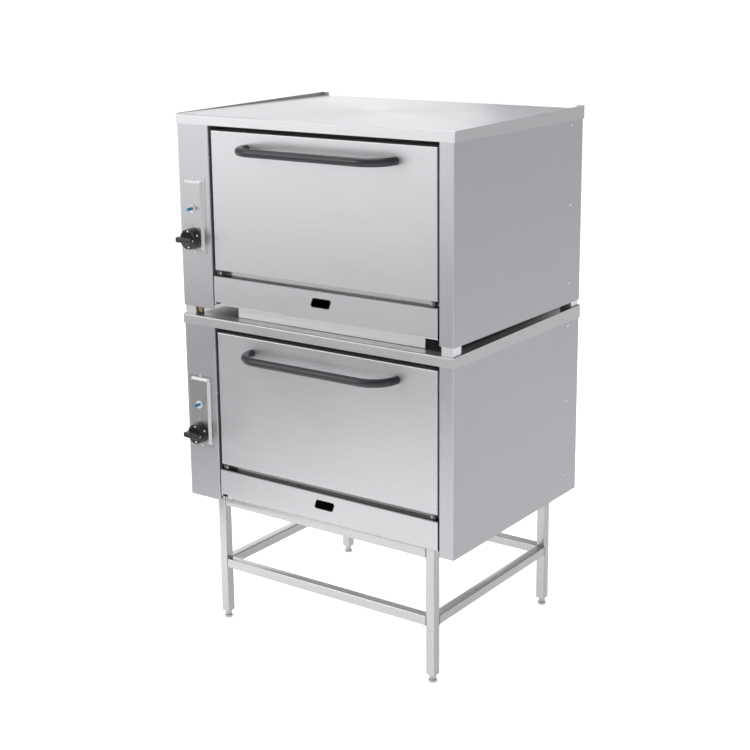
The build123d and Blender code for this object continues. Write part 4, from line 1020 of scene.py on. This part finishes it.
# angles in degrees, lens in millimetres, rise as a share of the frame
cameraLook = {"place": (2.59713, -3.64215, 2.0592), "azimuth": 35.551, "elevation": 13.096,
              "roll": -0.578, "lens": 70.602, "sensor": 36.0, "rise": -0.09, "farEnd": 600.0}
az, el, roll = (math.radians(cameraLook[k]) for k in ("azimuth", "elevation", "roll"))
back = Vector((math.sin(az) * math.cos(el), -math.cos(az) * math.cos(el), math.sin(el)))
level = (-back).cross(Vector((0, 0, 1))).normalized()
upright = level.cross(-back)
rotation = Matrix((math.cos(roll) * level + math.sin(roll) * upright,
                   -math.sin(roll) * level + math.cos(roll) * upright, back))
cameraData = bpy.data.cameras.new("studio camera")
cameraData.lens = cameraLook["lens"]
cameraData.sensor_width = cameraLook["sensor"]
cameraData.shift_y = cameraLook["rise"]
cameraData.clip_end = cameraLook["farEnd"]
camera = newObject("studio camera", cameraData)
camera.matrix_world = (Matrix.Translation(cameraLook["place"])
                       @ rotation.transposed().to_4x4())
bpy.context.scene.camera = camera

lights = {
    "key": {"place": (-3.2, -4.2, 3.4), "aim": (0, 0, 0.9), "size": (3.2, 3.2), "power": 95},
    "top": {"place": (-0.6, 0.6, 4.4), "aim": (-0.4, 0, 1.6), "size": (2.5, 2.5), "power": 50},
    "backLeft": {"place": (-4.9, 3.7, 2.3), "aim": (-0.3, 0.0, 1.6), "size": (5.6, 2.4),
                 "power": 46},
    "frontLow": {"place": (-4.6, -6.6, 1.2), "aim": (0, 0, 1.3), "size": (6.0, 2.0),
                 "power": 30},
    "overPlate": {"place": (-2.7, -1.3, 4.6), "aim": (-0.43, -0.36, 1.3), "size": (1.5, 1.5),
                  "power": 12},
    "side": {"place": (4.6, 0.6, 2.2), "aim": (0.4, 0, 0.9), "size": (2.6, 2.6), "power": 12},
}
for name, look in lights.items():
    lightData = bpy.data.lights.new(name, "AREA")
    lightData.shape = "RECTANGLE"
    lightData.size, lightData.size_y = look["size"]
    lightData.energy = look["power"]
    lamp = newObject(name, lightData)
    aim = Vector(look["aim"]) - Vector(look["place"])
    lamp.rotation_euler = aim.to_track_quat("-Z", "Y").to_euler()
    lamp.location = look["place"]
    lamp.visible_camera = False

worldLook = {"colour": (0.95, 0.96, 1.0, 1.0), "strength": 0.5}
world = bpy.data.worlds.new("studio")
world.use_nodes = True
background = world.node_tree.nodes["Background"].inputs
background["Color"].default_value = worldLook["colour"]
background["Strength"].default_value = worldLook["strength"]
bpy.context.scene.world = world
bpy.context.scene.view_settings.view_transform = "Standard"


# matt finish with faint clouds, darker by the factor in places; glow lights it from within
def stageFinish(name, look):
    finish = Finish(name, Roughness=look["rough"], Emission_Color=(1, 1, 1, 1),
                    Emission_Strength=look["glow"])
    finish.paint(Base_Color=finish.blend(finish.noise(look["cloud"]),
                                         shade(look["colour"], look["factor"]), look["colour"]))
    return finish.material


def stageMesh(name, verts, faces, material):
    mesh = bpy.data.meshes.new(name)
    mesh.from_pydata(verts, [], faces)
    mesh.materials.append(material)
    made = newObject(name, mesh)
    return made


# a flat sheet on the floor or just over it
def flatSheet(name, middle, size, turn, material):
    wide, deep = size[0] / 2, size[1] / 2
    corners = np.array([(-wide, -deep), (wide, -deep), (wide, deep), (-wide, deep)])
    angle = math.radians(turn)
    spin = np.array([(math.cos(angle), math.sin(angle)), (-math.sin(angle), math.cos(angle))])
    flat = corners @ spin + np.array(middle[:2])
    return stageMesh(name, [(x, y, middle[2]) for x, y in flat.tolist()], [(0, 1, 2, 3)], material)


# two cloths on the studio floor, seen only as reflections: the soft darker bands in the sheets
flagLook = {
    "flag": {"cloth": "dark cloth", "middle": (-2.35, -3.35, 0.004), "size": (6.5, 3.0),
             "turn": -35.0, "colour": (0.10, 0.10, 0.105), "factor": 0.8, "cloud": 40.0,
             "rough": 0.95, "glow": 0.0},
    "corner_flag": {"cloth": "thin cloth", "middle": (-1.56, -1.30, 0.003), "size": (1.05, 1.0),
                    "turn": -35.0, "colour": (0.62, 0.62, 0.63), "factor": 0.9, "cloud": 40.0,
                    "rough": 0.95, "glow": 0.0},
}
for name, look in flagLook.items():
    flag = flatSheet(name, look["middle"], look["size"], look["turn"],
                     stageFinish(look["cloth"], look))
    flag.visible_camera = flag.visible_shadow = flag.visible_diffuse = False

floorLook = {"size": 240.0, "colour": (0.93, 0.93, 0.93), "factor": 0.995, "cloud": 2.0,
             "rough": 0.9, "glow": 0.62}
flatSheet("floor", (0, 0, 0), (floorLook["size"], floorLook["size"]), 0,
          stageFinish("pale floor", floorLook))

# pale studio wall far behind, so that low views have no hard horizon; it lights nothing
wallLook = {"radius": 100.0, "foot": -1.0, "height": 70.0, "sides": 64,
            "colour": (0.95, 0.95, 0.95), "factor": 0.98, "cloud": 0.05, "rough": 0.9,
            "glow": 1.0}
bottomRing = np.hstack([ring(wallLook["radius"], wallLook["sides"]),
                        np.full((wallLook["sides"], 1), wallLook["foot"])])
wall = stageMesh("studio_wall",
                 np.vstack([bottomRing, bottomRing + (0, 0, wallLook["height"])]).tolist(),
                 gridFaces(2, wallLook["sides"]).tolist(), stageFinish("pale wall", wallLook))
wall.visible_diffuse = wall.visible_glossy = False
wall.visible_shadow = wall.visible_transmission = False
print("camera, lights, floor and wall made")
